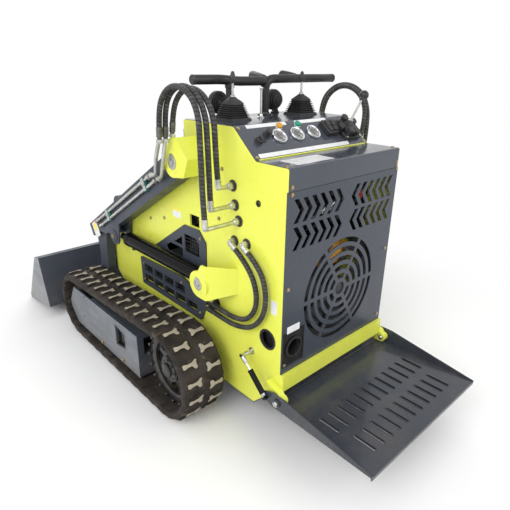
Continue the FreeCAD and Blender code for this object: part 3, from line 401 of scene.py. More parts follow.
def coat_of_paint(name, colour, shade, bare, gloss, coat=0.0, dust_top=0.45, dust=0.5, chips=0.75,
                  specular=0.5):
    """Powder coat: broad shade changes, fine scratches to bare metal, orange peel and low dust."""
    f = Finish(name, coat=coat, specular=specular)
    broad = f.step(f.noise(2.2, 3.0), 0.3, 0.75)
    base = f.blend(broad, colour, shade)
    scratch = f.step(f.noise(34.0, 3.0, 0.5, (1.0, 0.25, 7.0)), chips, chips + 0.035)
    rubbed = f.step(f.noise(14.0, 8.0, 0.72), chips - 0.03, chips + 0.02)
    worn = f.maths("MULTIPLY", f.maths("MAXIMUM", scratch, rubbed), 0.55)
    base = f.blend(worn, base, bare)
    dirt = settled_dust(f, dust_top, dust)
    base = f.blend(dirt, base, DUST)
    smudge = f.step(f.noise(7.0, 5.0, 0.6), 0.35, 0.7, gloss - 0.05, gloss + 0.12)
    rough = f.maths("ADD", smudge, f.maths("MULTIPLY", dirt, 0.35))
    peel = f.maths("ADD", f.maths("MULTIPLY", f.noise(420.0, 2.0), 0.35), f.noise(5.0, 2.0))
    return f.finish(base, rough, peel, 0.10, 0.002)


def coat_of(name, tone, bare, gloss, **options):
    """One of the add-on's paint colours, lime or slate, as a coat."""
    paint = bpy.context.scene.loader_paint
    return coat_of_paint(name, tuple(getattr(paint, tone)), tuple(getattr(paint, tone + "_shade")),
                         bare, gloss, **options)


def shaded_tread_coat():
    """The slate of the platform: a copy of the slate coat painted darker as painted shade, and rubbed
    smooth by feet.
    """
    paint = bpy.context.scene.loader_paint
    # The slate at 0.8 all over: painted shade on the platform, which faces up into more light.
    dark, darker = (tuple(c * 0.80 for c in tone) for tone in (paint.slate, paint.slate_shade))
    return coat_of_paint("slate tread", dark, darker, (0.16, 0.165, 0.18), 0.20, coat=0.12,
                         dust_top=0.40, dust=0.16, chips=0.80, specular=0.35)


def sheen_and_wear_plate(name, edge, colour=(0.172, 0.188, 0.212)):
    """Slate paint whose faces further out than edge are a pale grey with faint streaks: a painted sheen
    on the track frames, worn paint on the bucket.
    """
    f = Finish(name, specular=0.4)
    paint = bpy.context.scene.loader_paint
    # Faces further out than edge turn pale: painted sheen on the track frames, worn paint on the bucket.
    outer = f.maths("GREATER_THAN", f.maths("ABSOLUTE", f.axis[1]), edge)
    streaks = f.step(f.noise(6.0, 6.0, 0.6, (1.0, 1.0, 5.0)), 0.35, 0.7)
    pale = f.blend(f.maths("MULTIPLY", streaks, 0.8), colour, tuple(c * 0.66 for c in colour))
    specks = f.step(f.noise(60.0, 8.0, 0.75), 0.62, 0.68)
    pale = f.blend(f.maths("MULTIPLY", specks, 0.35), pale, (0.42, 0.43, 0.45))
    mottled = f.blend(f.noise(3.0), tuple(paint.slate), tuple(paint.slate_shade))
    base = f.blend(outer, mottled, pale)
    dirt = settled_dust(f, 0.28, 0.30)
    base = f.blend(dirt, base, DUST)
    rough = f.step(f.noise(11.0, 5.0), 0.3, 0.7, 0.38, 0.58)
    return f.finish(base, rough, f.noise(260.0, 3.0), 0.12, 0.0012)


def bright_metal(name, colour, shade, gloss, grain=(1, 1, 1), scale=22.0, strength=0.15):
    """Bare or plated metal: mottled tone, grain in one direction and dull patches."""
    f = Finish(name, metallic=1.0)
    mottle = f.step(f.noise(scale, 5.0, 0.6, grain), 0.3, 0.7)
    base = f.blend(mottle, colour, shade)
    dull = f.step(f.noise(scale * 0.4, 4.0), 0.35, 0.7, gloss, gloss + 0.16)
    return f.finish(base, dull, f.noise(scale * 14.0, 3.0, 0.6, grain), strength, 0.0006)


def cast_iron():
    """Dark iron of wheels and engine, sandy to the touch, with dust in it."""
    f = Finish("cast iron", specular=0.55)
    tone = f.blend(f.step(f.noise(12.0, 6.0, 0.6), 0.3, 0.7), (0.012, 0.012, 0.013),
                   (0.036, 0.034, 0.033))
    dirt = settled_dust(f, 0.30, 0.10)
    rough = f.step(f.noise(20.0), 0.3, 0.7, 0.24, 0.52)
    return f.finish(f.blend(dirt, tone, DUST), rough, f.noise(320.0, 5.0, 0.7), 0.25, 0.001)


def burnt_steel():
    """Exhaust steel, blackened by heat."""
    f = Finish("burnt steel", metallic=0.3, specular=0.3)
    tone = f.blend(f.step(f.noise(16.0, 6.0), 0.3, 0.7), (0.012, 0.012, 0.012),
                   (0.034, 0.031, 0.029))
    rough = f.step(f.noise(25.0), 0.3, 0.7, 0.42, 0.70)
    return f.finish(tone, rough, f.noise(240.0, 4.0), 0.25, 0.001)


def track_rubber():
    """Brown-black track rubber with dried mud in its hollows."""
    f = Finish("track rubber", specular=0.25)
    tone = f.blend(f.step(f.noise(8.0, 6.0, 0.65), 0.3, 0.7), (0.014, 0.012, 0.011),
                   (0.044, 0.035, 0.029))
    mud = f.step(f.noise(26.0, 8.0, 0.7), 0.55, 0.70)
    tone = f.blend(f.maths("MULTIPLY", mud, 0.42), tone, (0.15, 0.12, 0.09))
    rough = f.step(f.noise(15.0, 4.0), 0.3, 0.7, 0.62, 0.90)
    grain = f.maths("ADD", f.noise(190.0, 6.0, 0.7), f.maths("MULTIPLY", f.noise(30.0, 4.0), 1.5))
    return f.finish(tone, rough, grain, 0.5, 0.0015)


def lug_tops():
    """Lug tops rubbed pale by the ground, darker where rubber shows through."""
    f = Finish("rubbed lug tops")
    tone = f.blend(f.noise(45.0, 6.0, 0.6), (0.40, 0.355, 0.285), (0.30, 0.262, 0.205))
    thin = f.step(f.noise(110.0, 6.0, 0.75), 0.58, 0.72)
    tone = f.blend(f.maths("MULTIPLY", thin, 0.7), tone, (0.12, 0.095, 0.07))
    rough = f.step(f.noise(30.0), 0.3, 0.7, 0.7, 0.92)
    return f.finish(tone, rough, f.noise(220.0, 5.0, 0.7), 0.5, 0.001)


def hose_cover():
    """Spiral guard over ribbed rubber, on the hose's own UV, u along it and v round it: one broad spiral
    groove a turn and fine ribs between. The groove is painted near black as painted shade."""
    f = Finish("spiral hose guard", uv=True, specular=0.4)
    turn = f.maths("ADD", f.maths("MULTIPLY", f.axis[0], 82.0), f.axis[1])
    groove = f.step(f.maths("SINE", f.maths("MULTIPLY", turn, TAU)), -0.95, -0.45)
    rib = f.maths("SINE", f.maths("MULTIPLY", f.axis[0], TAU * 260.0))
    relief = f.maths("ADD", groove, f.maths("MULTIPLY", rib, 0.12))
    scuff = f.noise(30.0, 5.0, 0.5, (1.0, 0.05, 1.0))
    band = f.blend(f.step(scuff, 0.42, 0.70), (0.030, 0.030, 0.032), (0.085, 0.083, 0.080))
    # Near black in the groove: painted shade.
    tone = f.blend(groove, (0.006, 0.006, 0.007), band)
    return f.finish(tone, f.step(scuff, 0.3, 0.7, 0.36, 0.62), relief, 0.8, 0.0014)


def moulded(name, colour, shade, gloss, grain=260.0, strength=0.2):
    """Moulded plastic or rubber: slight tone changes, smudges and a fine grain."""
    f = Finish(name, specular=0.35)
    tone = f.blend(f.step(f.noise(10.0, 4.0), 0.3, 0.7), colour, shade)
    rough = f.step(f.noise(18.0, 4.0), 0.3, 0.7, gloss, gloss + 0.18)
    return f.finish(tone, rough, f.noise(grain, 3.0, 0.6), strength, 0.0008)


def dial_face():
    """Gauge dial: dark disc with pale tick marks round its rim and a pale needle, on the dial's UV."""
    f = Finish("gauge dial", coat=0.6, uv=True)
    ticks = f.maths("GREATER_THAN", f.maths("FRACT", f.maths("MULTIPLY", f.axis[1], 24.0)), 0.72)
    band = f.maths("MULTIPLY", f.maths("GREATER_THAN", f.axis[0], 2.2),
                   f.maths("LESS_THAN", f.axis[0], 3.2))
    needle = f.maths("COMPARE", f.axis[1], 0.62, 0.012)
    marks = f.maths("MAXIMUM", f.maths("MULTIPLY", ticks, band), needle)
    cloud = f.noise(2.0, 3.0, 0.5, (1.0, 3.0, 1.0))
    paper = f.blend(f.step(cloud, 0.35, 0.65), (0.030, 0.032, 0.034), (0.16, 0.16, 0.15))
    rough = f.step(cloud, 0.3, 0.7, 0.08, 0.20)
    return f.finish(f.blend(marks, paper, (0.70, 0.70, 0.66)), rough)


def lamp_lens():
    """Ribbed lamp lens."""
    f = Finish("lamp lens", coat=0.8)
    ribs = f.maths("SINE", f.maths("MULTIPLY", f.axis[1], 900.0))
    tone = f.blend(f.step(ribs, -1.0, 1.0), (0.50, 0.52, 0.54), (0.78, 0.80, 0.82))
    return f.finish(tone, f.step(f.noise(30.0), 0.3, 0.7, 0.05, 0.14), ribs, 0.3, 0.001)


def sticker(name, colour, shade):
    """Blank label film with a soft gloss and faint smears."""
    f = Finish(name, coat=0.2)
    tone = f.blend(f.step(f.noise(28.0, 5.0), 0.35, 0.75), colour, shade)
    rough = f.step(f.noise(16.0), 0.3, 0.7, 0.22, 0.40)
    return f.finish(tone, rough, f.noise(180.0, 2.0), 0.05, 0.0005)


# Each finish: the function that makes it, its name and what the function takes, in order.
RECIPES = {
    # body and covers: paint, colour of bare metal, gloss
    "lime": (coat_of, "lime powder coat", "lime", (0.60, 0.60, 0.42), 0.30,
             dict(coat=0.10, dust_top=0.50, dust=0.16, chips=0.80, specular=0.35)),
    "slate": (coat_of, "slate powder coat", "slate", (0.18, 0.19, 0.21), 0.36,
              dict(dust_top=0.45, dust=0.18, chips=0.79, specular=0.22)),
    "hood": (coat_of, "slate hood gloss", "slate", (0.20, 0.21, 0.24), 0.17,
             dict(coat=0.25, dust=0.0, chips=0.81, specular=0.35)),
    "panel": (coat_of, "slate panel", "slate", (0.20, 0.21, 0.24), 0.27,
              dict(coat=0.10, dust_top=0.40, dust=0.10, chips=0.80, specular=0.30)),
    "black": (coat_of_paint, "black cylinder paint", (0.004, 0.004, 0.005), (0.009, 0.009, 0.010),
              (0.12, 0.12, 0.12), 0.08, dict(dust=0.02, chips=0.84, specular=0.10)),
    # slate plates pale on their outer faces, a painted sheen on the track frames and wear on the bucket:
    # metres from the middle to the pale face
    "frame": (sheen_and_wear_plate, "rubbed track frame", 0.5035),
    "bucket": (sheen_and_wear_plate, "rubbed bucket plate", 0.5685, (0.27, 0.28, 0.30)),
    # metals: colour, shade, gloss
    "zinc": (bright_metal, "zinc plate", (0.58, 0.58, 0.55), (0.40, 0.41, 0.41), 0.30),
    "pipe": (bright_metal, "plated pipe", (0.66, 0.66, 0.63), (0.48, 0.48, 0.46), 0.34,
             dict(scale=30.0)),
    "crimp": (bright_metal, "dull crimp", (0.20, 0.20, 0.185), (0.11, 0.11, 0.105), 0.42,
              dict(scale=40.0)),
    "edge": (bright_metal, "rubbed edge steel", (0.42, 0.42, 0.43), (0.30, 0.30, 0.31), 0.36,
             (1, 4, 1)),
    "chrome": (bright_metal, "hard chrome", (0.80, 0.80, 0.82), (0.68, 0.69, 0.71), 0.08,
               dict(strength=0.04)),
    "bolt": (bright_metal, "yellow passivated bolts", (0.55, 0.45, 0.30), (0.40, 0.31, 0.19), 0.30),
    # mouldings: colour, shade, gloss, fineness and depth of the grain
    "plastic": (moulded, "moulded black plastic", (0.020, 0.020, 0.022), (0.034, 0.034, 0.036), 0.34),
    "bellows": (moulded, "bellows rubber", (0.012, 0.012, 0.013), (0.028, 0.028, 0.030), 0.40,
                150.0, 0.35),
    "rail": (moulded, "rail foam grip", (0.012, 0.012, 0.013), (0.022, 0.022, 0.024), 0.34, 500.0),
    "teal": (moulded, "teal clamp", (0.055, 0.19, 0.175), (0.035, 0.13, 0.12), 0.34),
    "red": (moulded, "red cap", (0.55, 0.02, 0.02), (0.42, 0.015, 0.015), 0.30),
    "orange": (moulded, "orange moulding", (0.66, 0.33, 0.03), (0.54, 0.25, 0.02), 0.28),
    "green": (moulded, "green moulding", (0.02, 0.32, 0.20), (0.015, 0.24, 0.15), 0.28),
    # labels: colour, shade
    "white_label": (sticker, "blank white label", (0.80, 0.80, 0.80), (0.70, 0.71, 0.72)),
    "yellow_label": (sticker, "blank yellow label", (0.88, 0.78, 0.06), (0.80, 0.70, 0.05)),
    # finishes with a function of their own
    "tread": (shaded_tread_coat,), "iron": (cast_iron,), "exhaust": (burnt_steel,), "hose": (hose_cover,),
    "rubber": (track_rubber,), "lug": (lug_tops,), "dial": (dial_face,), "lens": (lamp_lens,),
}


# ---- making a piece ------------------------------------------------------------------------------
def make(name, shapes, finishes, body="chassis", replaced=(), sharp=35.0,
         across=None):
    """One piece from shapes: millimetres turned to the frame's metres, doubles merged and normals turned
    outwards. It rides on a body; given across, it stays in the frame with its placing baked in, and the
    bodies and points in across are not used."""
    sizes = np.cumsum([0] + [len(s.points) for s in shapes])
    points = np.vstack([s.points for s in shapes]) / 1000.0 + (REAR_X, 0, 0)
    faces = np.vstack([s.faces + start for s, start in zip(shapes, sizes)])
    uv = np.concatenate([s.uv.reshape(-1, 2) for s in shapes])
    tags = np.concatenate([np.broadcast_to(s.tag, len(s.faces)) for s in shapes])
    mesh = bpy.data.meshes.new(name)
    mesh.from_pydata(points.tolist(), [], faces.tolist())
    mesh.polygons.foreach_set("material_index", tags.astype(np.int32))
    mesh.uv_layers.new(name="UVMap").data.foreach_set("uv", uv.astype(np.float32).ravel())
    edit = bmesh.new()
    edit.from_mesh(mesh)
    bmesh.ops.remove_doubles(edit, verts=edit.verts, dist=2e-6)
    bmesh.ops.recalc_face_normals(edit, faces=edit.faces)
    edit.to_mesh(mesh)
    edit.free()
    for key in finishes:
        mesh.materials.append(finish_of(key))
    mesh.shade_smooth()
    mesh.set_sharp_from_angle(angle=math.radians(sharp))
    piece = bpy.data.objects.new(name, mesh)
    bpy.context.scene.collection.objects.link(piece)
    if across:
        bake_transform(piece)
    else:
        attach(piece, body)
    if replaced:
        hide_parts(*replaced)
    return piece


# ---- hoses ---------------------------------------------------------------------------------------
# Routes are in metres: x from the rear panel, y as the distance outside the side plate, and z.
UPPER_ROUTES = {
    "left_arm_hose_inner": (
        (0.444, 0.089, 1.090), (0.436, 0.089, 1.133), (0.407, 0.089, 1.176), (0.358, 0.089, 1.203),
        (0.302, 0.088, 1.201), (0.254, 0.088, 1.172), (0.226, 0.087, 1.123), (0.226, 0.084, 1.055),
        (0.233, 0.076, 0.992), (0.241, 0.066, 0.936)),
    "left_arm_hose_middle": (
        (0.448, 0.115, 1.077), (0.444, 0.115, 1.131), (0.416, 0.115, 1.181), (0.366, 0.115, 1.209),
        (0.310, 0.115, 1.209), (0.260, 0.114, 1.181), (0.232, 0.112, 1.131), (0.230, 0.110, 1.058),
        (0.231, 0.107, 0.985), (0.233, 0.104, 0.925), (0.234, 0.102, 0.874)),
    "left_arm_hose_outer": (
        (0.448, 0.138, 1.077), (0.444, 0.138, 1.131), (0.416, 0.138, 1.181), (0.366, 0.138, 1.209),
        (0.310, 0.138, 1.209), (0.260, 0.137, 1.181), (0.232, 0.137, 1.131), (0.230, 0.137, 1.058),
        (0.226, 0.138, 0.970), (0.222, 0.139, 0.886), (0.218, 0.138, 0.823)),
    "right_arm_hose_inner": (
        (0.444, 0.089, 1.082), (0.436, 0.089, 1.125), (0.407, 0.089, 1.168), (0.358, 0.089, 1.195),
        (0.302, 0.088, 1.193), (0.254, 0.088, 1.164), (0.226, 0.087, 1.115), (0.226, 0.083, 1.047),
        (0.233, 0.074, 0.982), (0.240, 0.064, 0.924)),
    "right_arm_hose_middle": (
        (0.474, 0.115, 1.066), (0.472, 0.115, 1.116), (0.443, 0.115, 1.167), (0.386, 0.115, 1.200),
        (0.318, 0.114, 1.200), (0.260, 0.113, 1.167), (0.230, 0.112, 1.108), (0.226, 0.109, 1.030),
        (0.229, 0.106, 0.955), (0.234, 0.103, 0.890)),
}
LOWER_ROUTES = {
    "lift_hose_front": (
        (0.212, 0.022, 0.702), (0.150, 0.022, 0.664), (0.104, 0.022, 0.596), (0.102, 0.022, 0.518),
        (0.150, 0.022, 0.454), (0.232, 0.022, 0.432), (0.314, 0.022, 0.438)),
    "lift_hose_rear": (
        (0.150, 0.022, 0.708), (0.092, 0.022, 0.674), (0.058, 0.022, 0.604), (0.062, 0.022, 0.514),
        (0.118, 0.022, 0.438), (0.200, 0.022, 0.408), (0.280, 0.022, 0.404), (0.346, 0.022, 0.408)),
}
ROUTES = dict(UPPER_ROUTES)
ROUTES.update({f"{side}_{name}": route for side in ("left", "right")
               for name, route in LOWER_ROUTES.items()})
MOVING_HOSES = ("left_arm_hose_middle", "left_arm_hose_outer", "right_arm_hose_middle")


def route_of(name):
    """A hose's route as machine points in metres."""
    route = np.array(ROUTES[name])
    route[:, 1] = (route[:, 1] + HALF / 1000.0) * (1 if name.startswith("left") else -1)
    return route


def hose_line(name):
    """Points in the frame read from a NURBS spline whose control points are the route's points."""
    route = route_of(name) + (REAR_X, 0, 0)
    curve = bpy.data.curves.new(name + "_line", "CURVE")
    curve.dimensions = "3D"
    curve.resolution_u = 10
    spline = curve.splines.new("NURBS")
    spline.points.add(len(route) - 1)
    spline.points.foreach_set("co", np.column_stack([route, np.ones(len(route))]).ravel())
    spline.order_u = 3
    spline.use_endpoint_u = True
    holder = bpy.data.objects.new(name + "_line", curve)
    line = bpy.data.meshes.new_from_object(holder)
    points = np.empty(len(line.vertices) * 3)
    line.vertices.foreach_get("co", points)
    bpy.data.objects.remove(holder)
    bpy.data.meshes.remove(line)
    bpy.data.curves.remove(curve)
    return points.reshape(-1, 3)


def add_hose(name, sizes):
    """Braided hose along its line."""
    line = hose_line(name)
    radius = sizes.hose_diameter * 500.0
    across = None
    if name in MOVING_HOSES:
        y = float(route_of(name)[0, 1]) * 1000.0
        across = ("lift_arms", (228.0, y, 1000.0), (448.0, y, 1077.0))
    machine = (line - (REAR_X, 0, 0)) * 1000.0
    piece = make(name + "_braid", [tube(machine, radius, 20)], ["hose"],
                 replaced=[name], sharp=60.0, across=across)


# ---- hose fittings and pipes ----------------------------------------------------------------------
PIPE, CRIMP = 7.0, 30.0                     # a pipe's radius and a crimp's length


def hose_end(name, last):
    """Where a hose ends, the direction straight on, and where its crimp ends."""
    route = route_of(name) * 1000.0
    near, far = (route[-1], route[-2]) if last else (route[0], route[1])
    on = (near - far) / np.linalg.norm(near - far)
    return near, on, near + on * CRIMP


def sleeve(start, direction, tag=0):
    """Grooved crimp: a turned profile with three rings pressed into it and a shoulder for the pipe."""
    profile = [(9.2, -4), (10.3, -3), (10.5, 0), (10.5, 5), (9.6, 6), (9.6, 8), (10.5, 9), (10.5, 12),
               (9.6, 13), (9.6, 15), (10.5, 16), (10.5, 19), (9.6, 20), (9.6, 22), (10.5, 23),
               (10.2, 27), (7.6, 30), (7.6, 34), (0, 34)]
    return revolve([(0, -4)] + profile, start, direction, 28, tag)


def wall_pipe(name, last, reach, tag=0):
    """Crimp, bent pipe, union nut and grommet from a hose's end to the side plate."""
    start, on, corner = hose_end(name, last)
    side = math.copysign(1.0, start[1])
    wall = np.array([corner[0], side * reach, corner[2]])
    line = rounded([corner - on * 6, corner, wall], 16.0, 7, closed=False)
    out = (0, side, 0)
    seat = (corner[0], side * HALF, corner[2])
    return [sleeve(start, on, tag), tube(line, PIPE, 18, tag),
            nut((corner[0], side * (HALF + 3), corner[2]), out, 13.0, 15.0, tag),
            revolve([(7, 18), (10.5, 18), (10.5, 24), (9.6, 25), (7, 25)], seat, out, 24),
            revolve([(7, 0.2), (19, 0.2), (19.5, 2.2), (16, 3.4), (7, 3.4)], seat, out, 28, 1)]


ARM_AXES = ((math.cos(ARM_SLOPE), 0, math.sin(ARM_SLOPE)),
            (-math.sin(ARM_SLOPE), 0, math.cos(ARM_SLOPE)), OUT)
ARM_ORIGIN = (PIVOT[0], 0, PIVOT[1])
PIPE_PLANE = 371.0                          # y of the hard pipes' middle line
LANDINGS = {"middle": (150.0, -6.0), "outer": (190.0, 24.0)}
BENDS = {"middle": ((480, 402, 968), (516, 390, 900)),
         "outer": ((500, 418, 972), (545, 395, 905))}


def arm_pipe_end(name):
    """Crimp and bent pipe from an upper hose's front end to the arm's outer face, with unions."""
    start, on, corner = hose_end(name, False)
    side = math.copysign(1.0, start[1])
    place = name.split("_")[-1]
    x, z = arm_place(*LANDINGS[place])
    stops = [corner - on * 6, corner] + [np.array((a, side * b, c)) for a, b, c in BENDS[place]]
    stops.append(np.array((x, side * PIPE_PLANE, z)))
    line = rounded(stops, 22.0, 6, closed=False)
    run = (stops[-1] - stops[-2]) / np.linalg.norm(stops[-1] - stops[-2])
    return [sleeve(start, on, 1), bar(line, PIPE, 18), nut(stops[-1] - run * 30, run, 11.5, 13.0),
            nut(corner + on * 5, on, 11.5, 12.0)]


def add_fittings():
    """Fittings that stay on the chassis, with the strut's upper stud, and those on the arms."""
    fixed = []
    for name in UPPER_ROUTES:
        fixed += wall_pipe(name, True, HALF - 14)
        if name.endswith("inner"):
            start, on, corner = hose_end(name, False)
            foot = (corner[0], corner[1], 1046.0)
            fixed += [sleeve(start, on, 2), tube([corner - on * 5, corner, foot], PIPE, 18),
                      nut(foot, UP, 11.5, 11.0)]
    lower = []
    for name in LOWER_ROUTES:
        for last in (False, True):
            lower += wall_pipe("left_" + name, last, HALF, 1 if last else 0)
    stud = revolve([(0, 0), (13, 0), (13, 4), (8, 5), (8, 30), (6, 34), (6, 39), (0, 39)],
                   (STRUT_HIGH[0], HALF, STRUT_HIGH[1]), OUT, 24)
    make("chassis_hose_fittings", fixed + pair(lower) + [stud], ["pipe", "plastic", "crimp"],
         replaced=["hose_fittings"])
    moving = [s for name in MOVING_HOSES for s in arm_pipe_end(name)]
    make("arm_hose_unions", moving, ["pipe", "crimp"], "lift_arms",
         ["arm_hose_fittings"])


def arm_slab(a0, a1, c0, c1, y0, y1, radius=4.0, edge=0.8, tag=0):
    """Rounded plate in the arm's own axes: along it, across it, and from y0 to y1."""
    return slab(rectangle(a0, a1, c0, c1, radius), y0, y1, ARM_ORIGIN, ARM_AXES, edge, tag)


def arm_point(along, across, y):
    """Machine point in the arm's own axes."""
    x, z = arm_place(along, across)
    return np.array((x, y, z))


def add_arm_pipes():
    """Hard pipes along the arms with moulded clamps, end unions with a red cap, blank labels."""
    down = ARM_AXES[0]
    shapes = []
    for place, end, tag in (("middle", 776.0, 0), ("outer", 804.0, 2)):
        along, across = LANDINGS[place]
        line = [arm_point(along + 7.5, across, PIPE_PLANE), arm_point(end, across, PIPE_PLANE)]
        shapes.append(tube(line, PIPE, 18))
        shapes.append(nut(arm_point(along + 10, across, PIPE_PLANE), down, 11.0, 14.0))
        shapes.append(nut(arm_point(end - 22, across, PIPE_PLANE), down, 11.0, 18.0))
        shapes.append(revolve([(0, 0), (9, 0), (9, 8), (7, 12), (0, 12)],
                              arm_point(end - 4, across, PIPE_PLANE), down, 24, tag))
    for along in (236.0, 640.0):
        shapes.append(arm_slab(along, along + 22, -18, 36, 363.2, 378.5, 3.0, 1.5, tag=1))
        shapes.append(arm_slab(along + 2, along + 20, -16, 34, 378.2, 380.8, 2.0, 0.8, tag=0))
        shapes += bolt(arm_point(along + 11, 9.0, 380.4), OUT, 5.0, 0)
    make("arm_pipe_runs", pair(shapes), ["pipe", "teal", "red"], "lift_arms",
         ["arm_pipes"])
    labels = [arm_slab(836, 892, -38, 38, 363, 363.6, 5.0, 0.1, 1),
              arm_slab(846, 882, -6, 32, 363.5, 364.1, 12.0, 0.1, 0)]
    make("arm_blank_labels", pair(labels), ["yellow_label", "white_label"], "lift_arms")


# ---- tracks ---------------------------------------------------------------------------------------
REAR_WHEEL, FRONT_WHEEL = np.array((409.0, 190.0)), np.array((1175.0, 166.0))     # x and z
REAR_R, FRONT_R, TRACK_THICK = 190.0, 166.0, 38.0
TRACK_IN, TRACK_OUT = 350.0, 530.0
WHEEL_LINE = FRONT_WHEEL - REAR_WHEEL
SPREAD = math.acos((REAR_R - FRONT_R) / math.hypot(*WHEEL_LINE))
HEADING = math.atan2(WHEEL_LINE[1], WHEEL_LINE[0])
RUN = math.sqrt(WHEEL_LINE @ WHEEL_LINE - (REAR_R - FRONT_R) ** 2)
STOPS = np.cumsum([0, RUN, FRONT_R * 2 * SPREAD, RUN, REAR_R * (TAU - 2 * SPREAD)])
LOOP = STOPS[-1]


def loop_at(distance, height):
    """Point in x and z on the track: centre + (radius + height) times the normal, where the centre,
    the radius and the normal's angle each run in straight lines between the loop's five stops."""
    s = np.mod(distance, LOOP)
    rear, front = (*REAR_WHEEL, REAR_R), (*FRONT_WHEEL, FRONT_R)
    x, z, r = (np.interp(s, STOPS, row) for row in zip(rear, front, front, rear, rear))
    r = r + height
    angles = HEADING + np.array([SPREAD, SPREAD, -SPREAD, -SPREAD, SPREAD - TAU])
    turn = np.interp(s, STOPS, angles)
    return x + r * np.cos(turn), z + r * np.sin(turn)


def on_loop(distance, y, height):
    """The same with y, as points."""
    x, z = loop_at(distance, height)
    return np.stack(np.broadcast_arrays(x, y, z), -1)


def carcass(pitches, skin):
    """Belt: a closed section of (edge distance, height) carried round the loop. Its two edges swell
    out once a pitch, and its inside has a shallow groove between the drive pads. The skin is the
    height of its outer face."""
    b = np.array([7, 2, 0.5, 0.5, 3, 10, 40, 90, 140, 170, 177, 179.5, 179.5, 178, 173,
                  140, 118, 112, 68, 62, 40])
    h = np.r_[-TRACK_THICK, -35, -30, skin - 6, skin - 1, np.full(5, skin), skin - 1, skin - 6,
              -30, -35, np.full(7, -TRACK_THICK)]
    steps = pitches * 12
    s = np.arange(steps) * LOOP / steps
    swell = 0.5 - 0.5 * np.cos(TAU * s / LOOP * pitches)
    shift = 0.5 - 0.5 * np.cos(TAU * s / LOOP * pitches + math.pi)
    near, far = (b < 20).astype(float), (b > 160).astype(float)
    edge = b + 2.0 * near * (1 - swell[:, None]) - 2.0 * far * (1 - shift[:, None])
    inside = (b > 30) & (b < 150) & (h < 1 - TRACK_THICK)
    groove = inside * 4.0 * (swell[:, None] > 0.8)
    return grid(on_loop(s[:, None], TRACK_OUT - edge, h + groove), wrap_u=True, wrap_v=True)


LUG = ((8.5, 15), (-8.5, 15), (-9.5, 25), (-6, 31), (-6, 54), (-17, 58), (-21, 66), (-16, 74),
       (-5, 71), (3, 72), (10, 78), (15, 72), (10, 62), (6, 54), (6, 31), (9.5, 25))


def lugs(pitches, height):
    """Lugs in two staggered columns, the inner one turned half round. Each lug is its outline scaled
    about its middle at a few heights: a wide pad, then the lug, closed below and on top."""
    outline = rounded(LUG, 3.0, 1)
    middle = np.array((0.0, 48.0))
    scales = np.array([0, 1.42, 1.38, 1.28, 1.12, 1.03, 1.0, 0.92, 0])
    heights = np.array([-height - 5, -height - 5, 0.8 - height, 2.4 - height, 3.0 - height,
                        -2.0, -0.8, 0, 0])
    ring = middle + (outline - middle) * scales[:, None, None]
    ring[..., 1] = np.clip(ring[..., 1], 4.5, 88.6)
    a, b = ring[..., 0], ring[..., 1]
    tags = np.repeat([0, 0, 0, 0, 0, 0, 1, 1], len(outline))
    h = heights[:, None]
    shapes = []
    for k in range(pitches):
        s = (k + 0.25) * LOOP / pitches
        for points in (on_loop(s + a, TRACK_OUT - b, h),
                       on_loop(s + LOOP / pitches / 2 - a, TRACK_IN + b, h)):
            shapes.append(grid(points, wrap_v=True, tag=tags))
    return shapes


def add_tracks(sizes):
    """Both rubber tracks, each one closed belt with its lugs."""
    height = sizes.lug_height * 1000.0
    left = [carcass(sizes.track_pitches, -height)] + lugs(sizes.track_pitches, height)
    for side, shapes in (("left", left), ("right", [s.mirrored() for s in left])):
        make(side + "_rubber_track", shapes, ["rubber", "lug"],
             replaced=[side + "_track"])


def add_undercarriage():
    """Drive hubs with their bolts, the sprockets' rims and studs, and on the frames their bolts, the
    window's lip, a black plate behind it as painted shade in the window, and the plate that closes the
    rear end."""
    x, z = REAR_WHEEL
    hub, rim_y, studs = 478, 456, 19
    iron = [revolve([(0, 0), (46, 0), (46, 3), (30, 6), (28, 14), (22, 18), (0, 18)], (x, hub, z),
                    OUT, 40)]
    ring = [(x + 38 * math.cos(a), z + 38 * math.sin(a)) for a in np.arange(8) * TAU / 8]
    iron += side_bolts(ring, hub + 2.5, 5.5)
    iron.append(hollow([(112, -2), (150, -2), (150, 10), (144, 14), (118, 14), (112, 10)],
                       (x, rim_y, z), OUT, 64))
    for a in np.arange(studs) * TAU / studs:
        place = (x + 143 * math.cos(a), rim_y, z + 143 * math.sin(a))
        iron.append(revolve([(0, 0), (7, 0), (7, 24), (5.5, 26), (0, 26)], place, OUT, 12))
    make("drive_hubs", pair(iron), ["iron"])
    plates = side_bolts([(940, 66), (743, 70)], FRAME_FACE, 8.0, 1)
    plates += side_bolts([(1100, 236), (1130, 120)], FRAME_FACE, 5.0)
    lip = rounded([(705, 144), (705, 214), (789, 228), (789, 128)], 5.0)
    plates.append(rim(lip, 3.0, FRAME_FACE, FRAME_FACE + 2.5, frame_axes=XZ))
    # Black plate behind the window: painted shade for the dark inside of the track frame.
    plates.append(block(696, 800, 490, 494, 120, 236, 1.0, 2))
    plates.append(block(600, 605, 384, 496.5, 56, 138, 1.0))
    make("track_frame_trim", pair(plates), ["frame", "bolt", "black"])


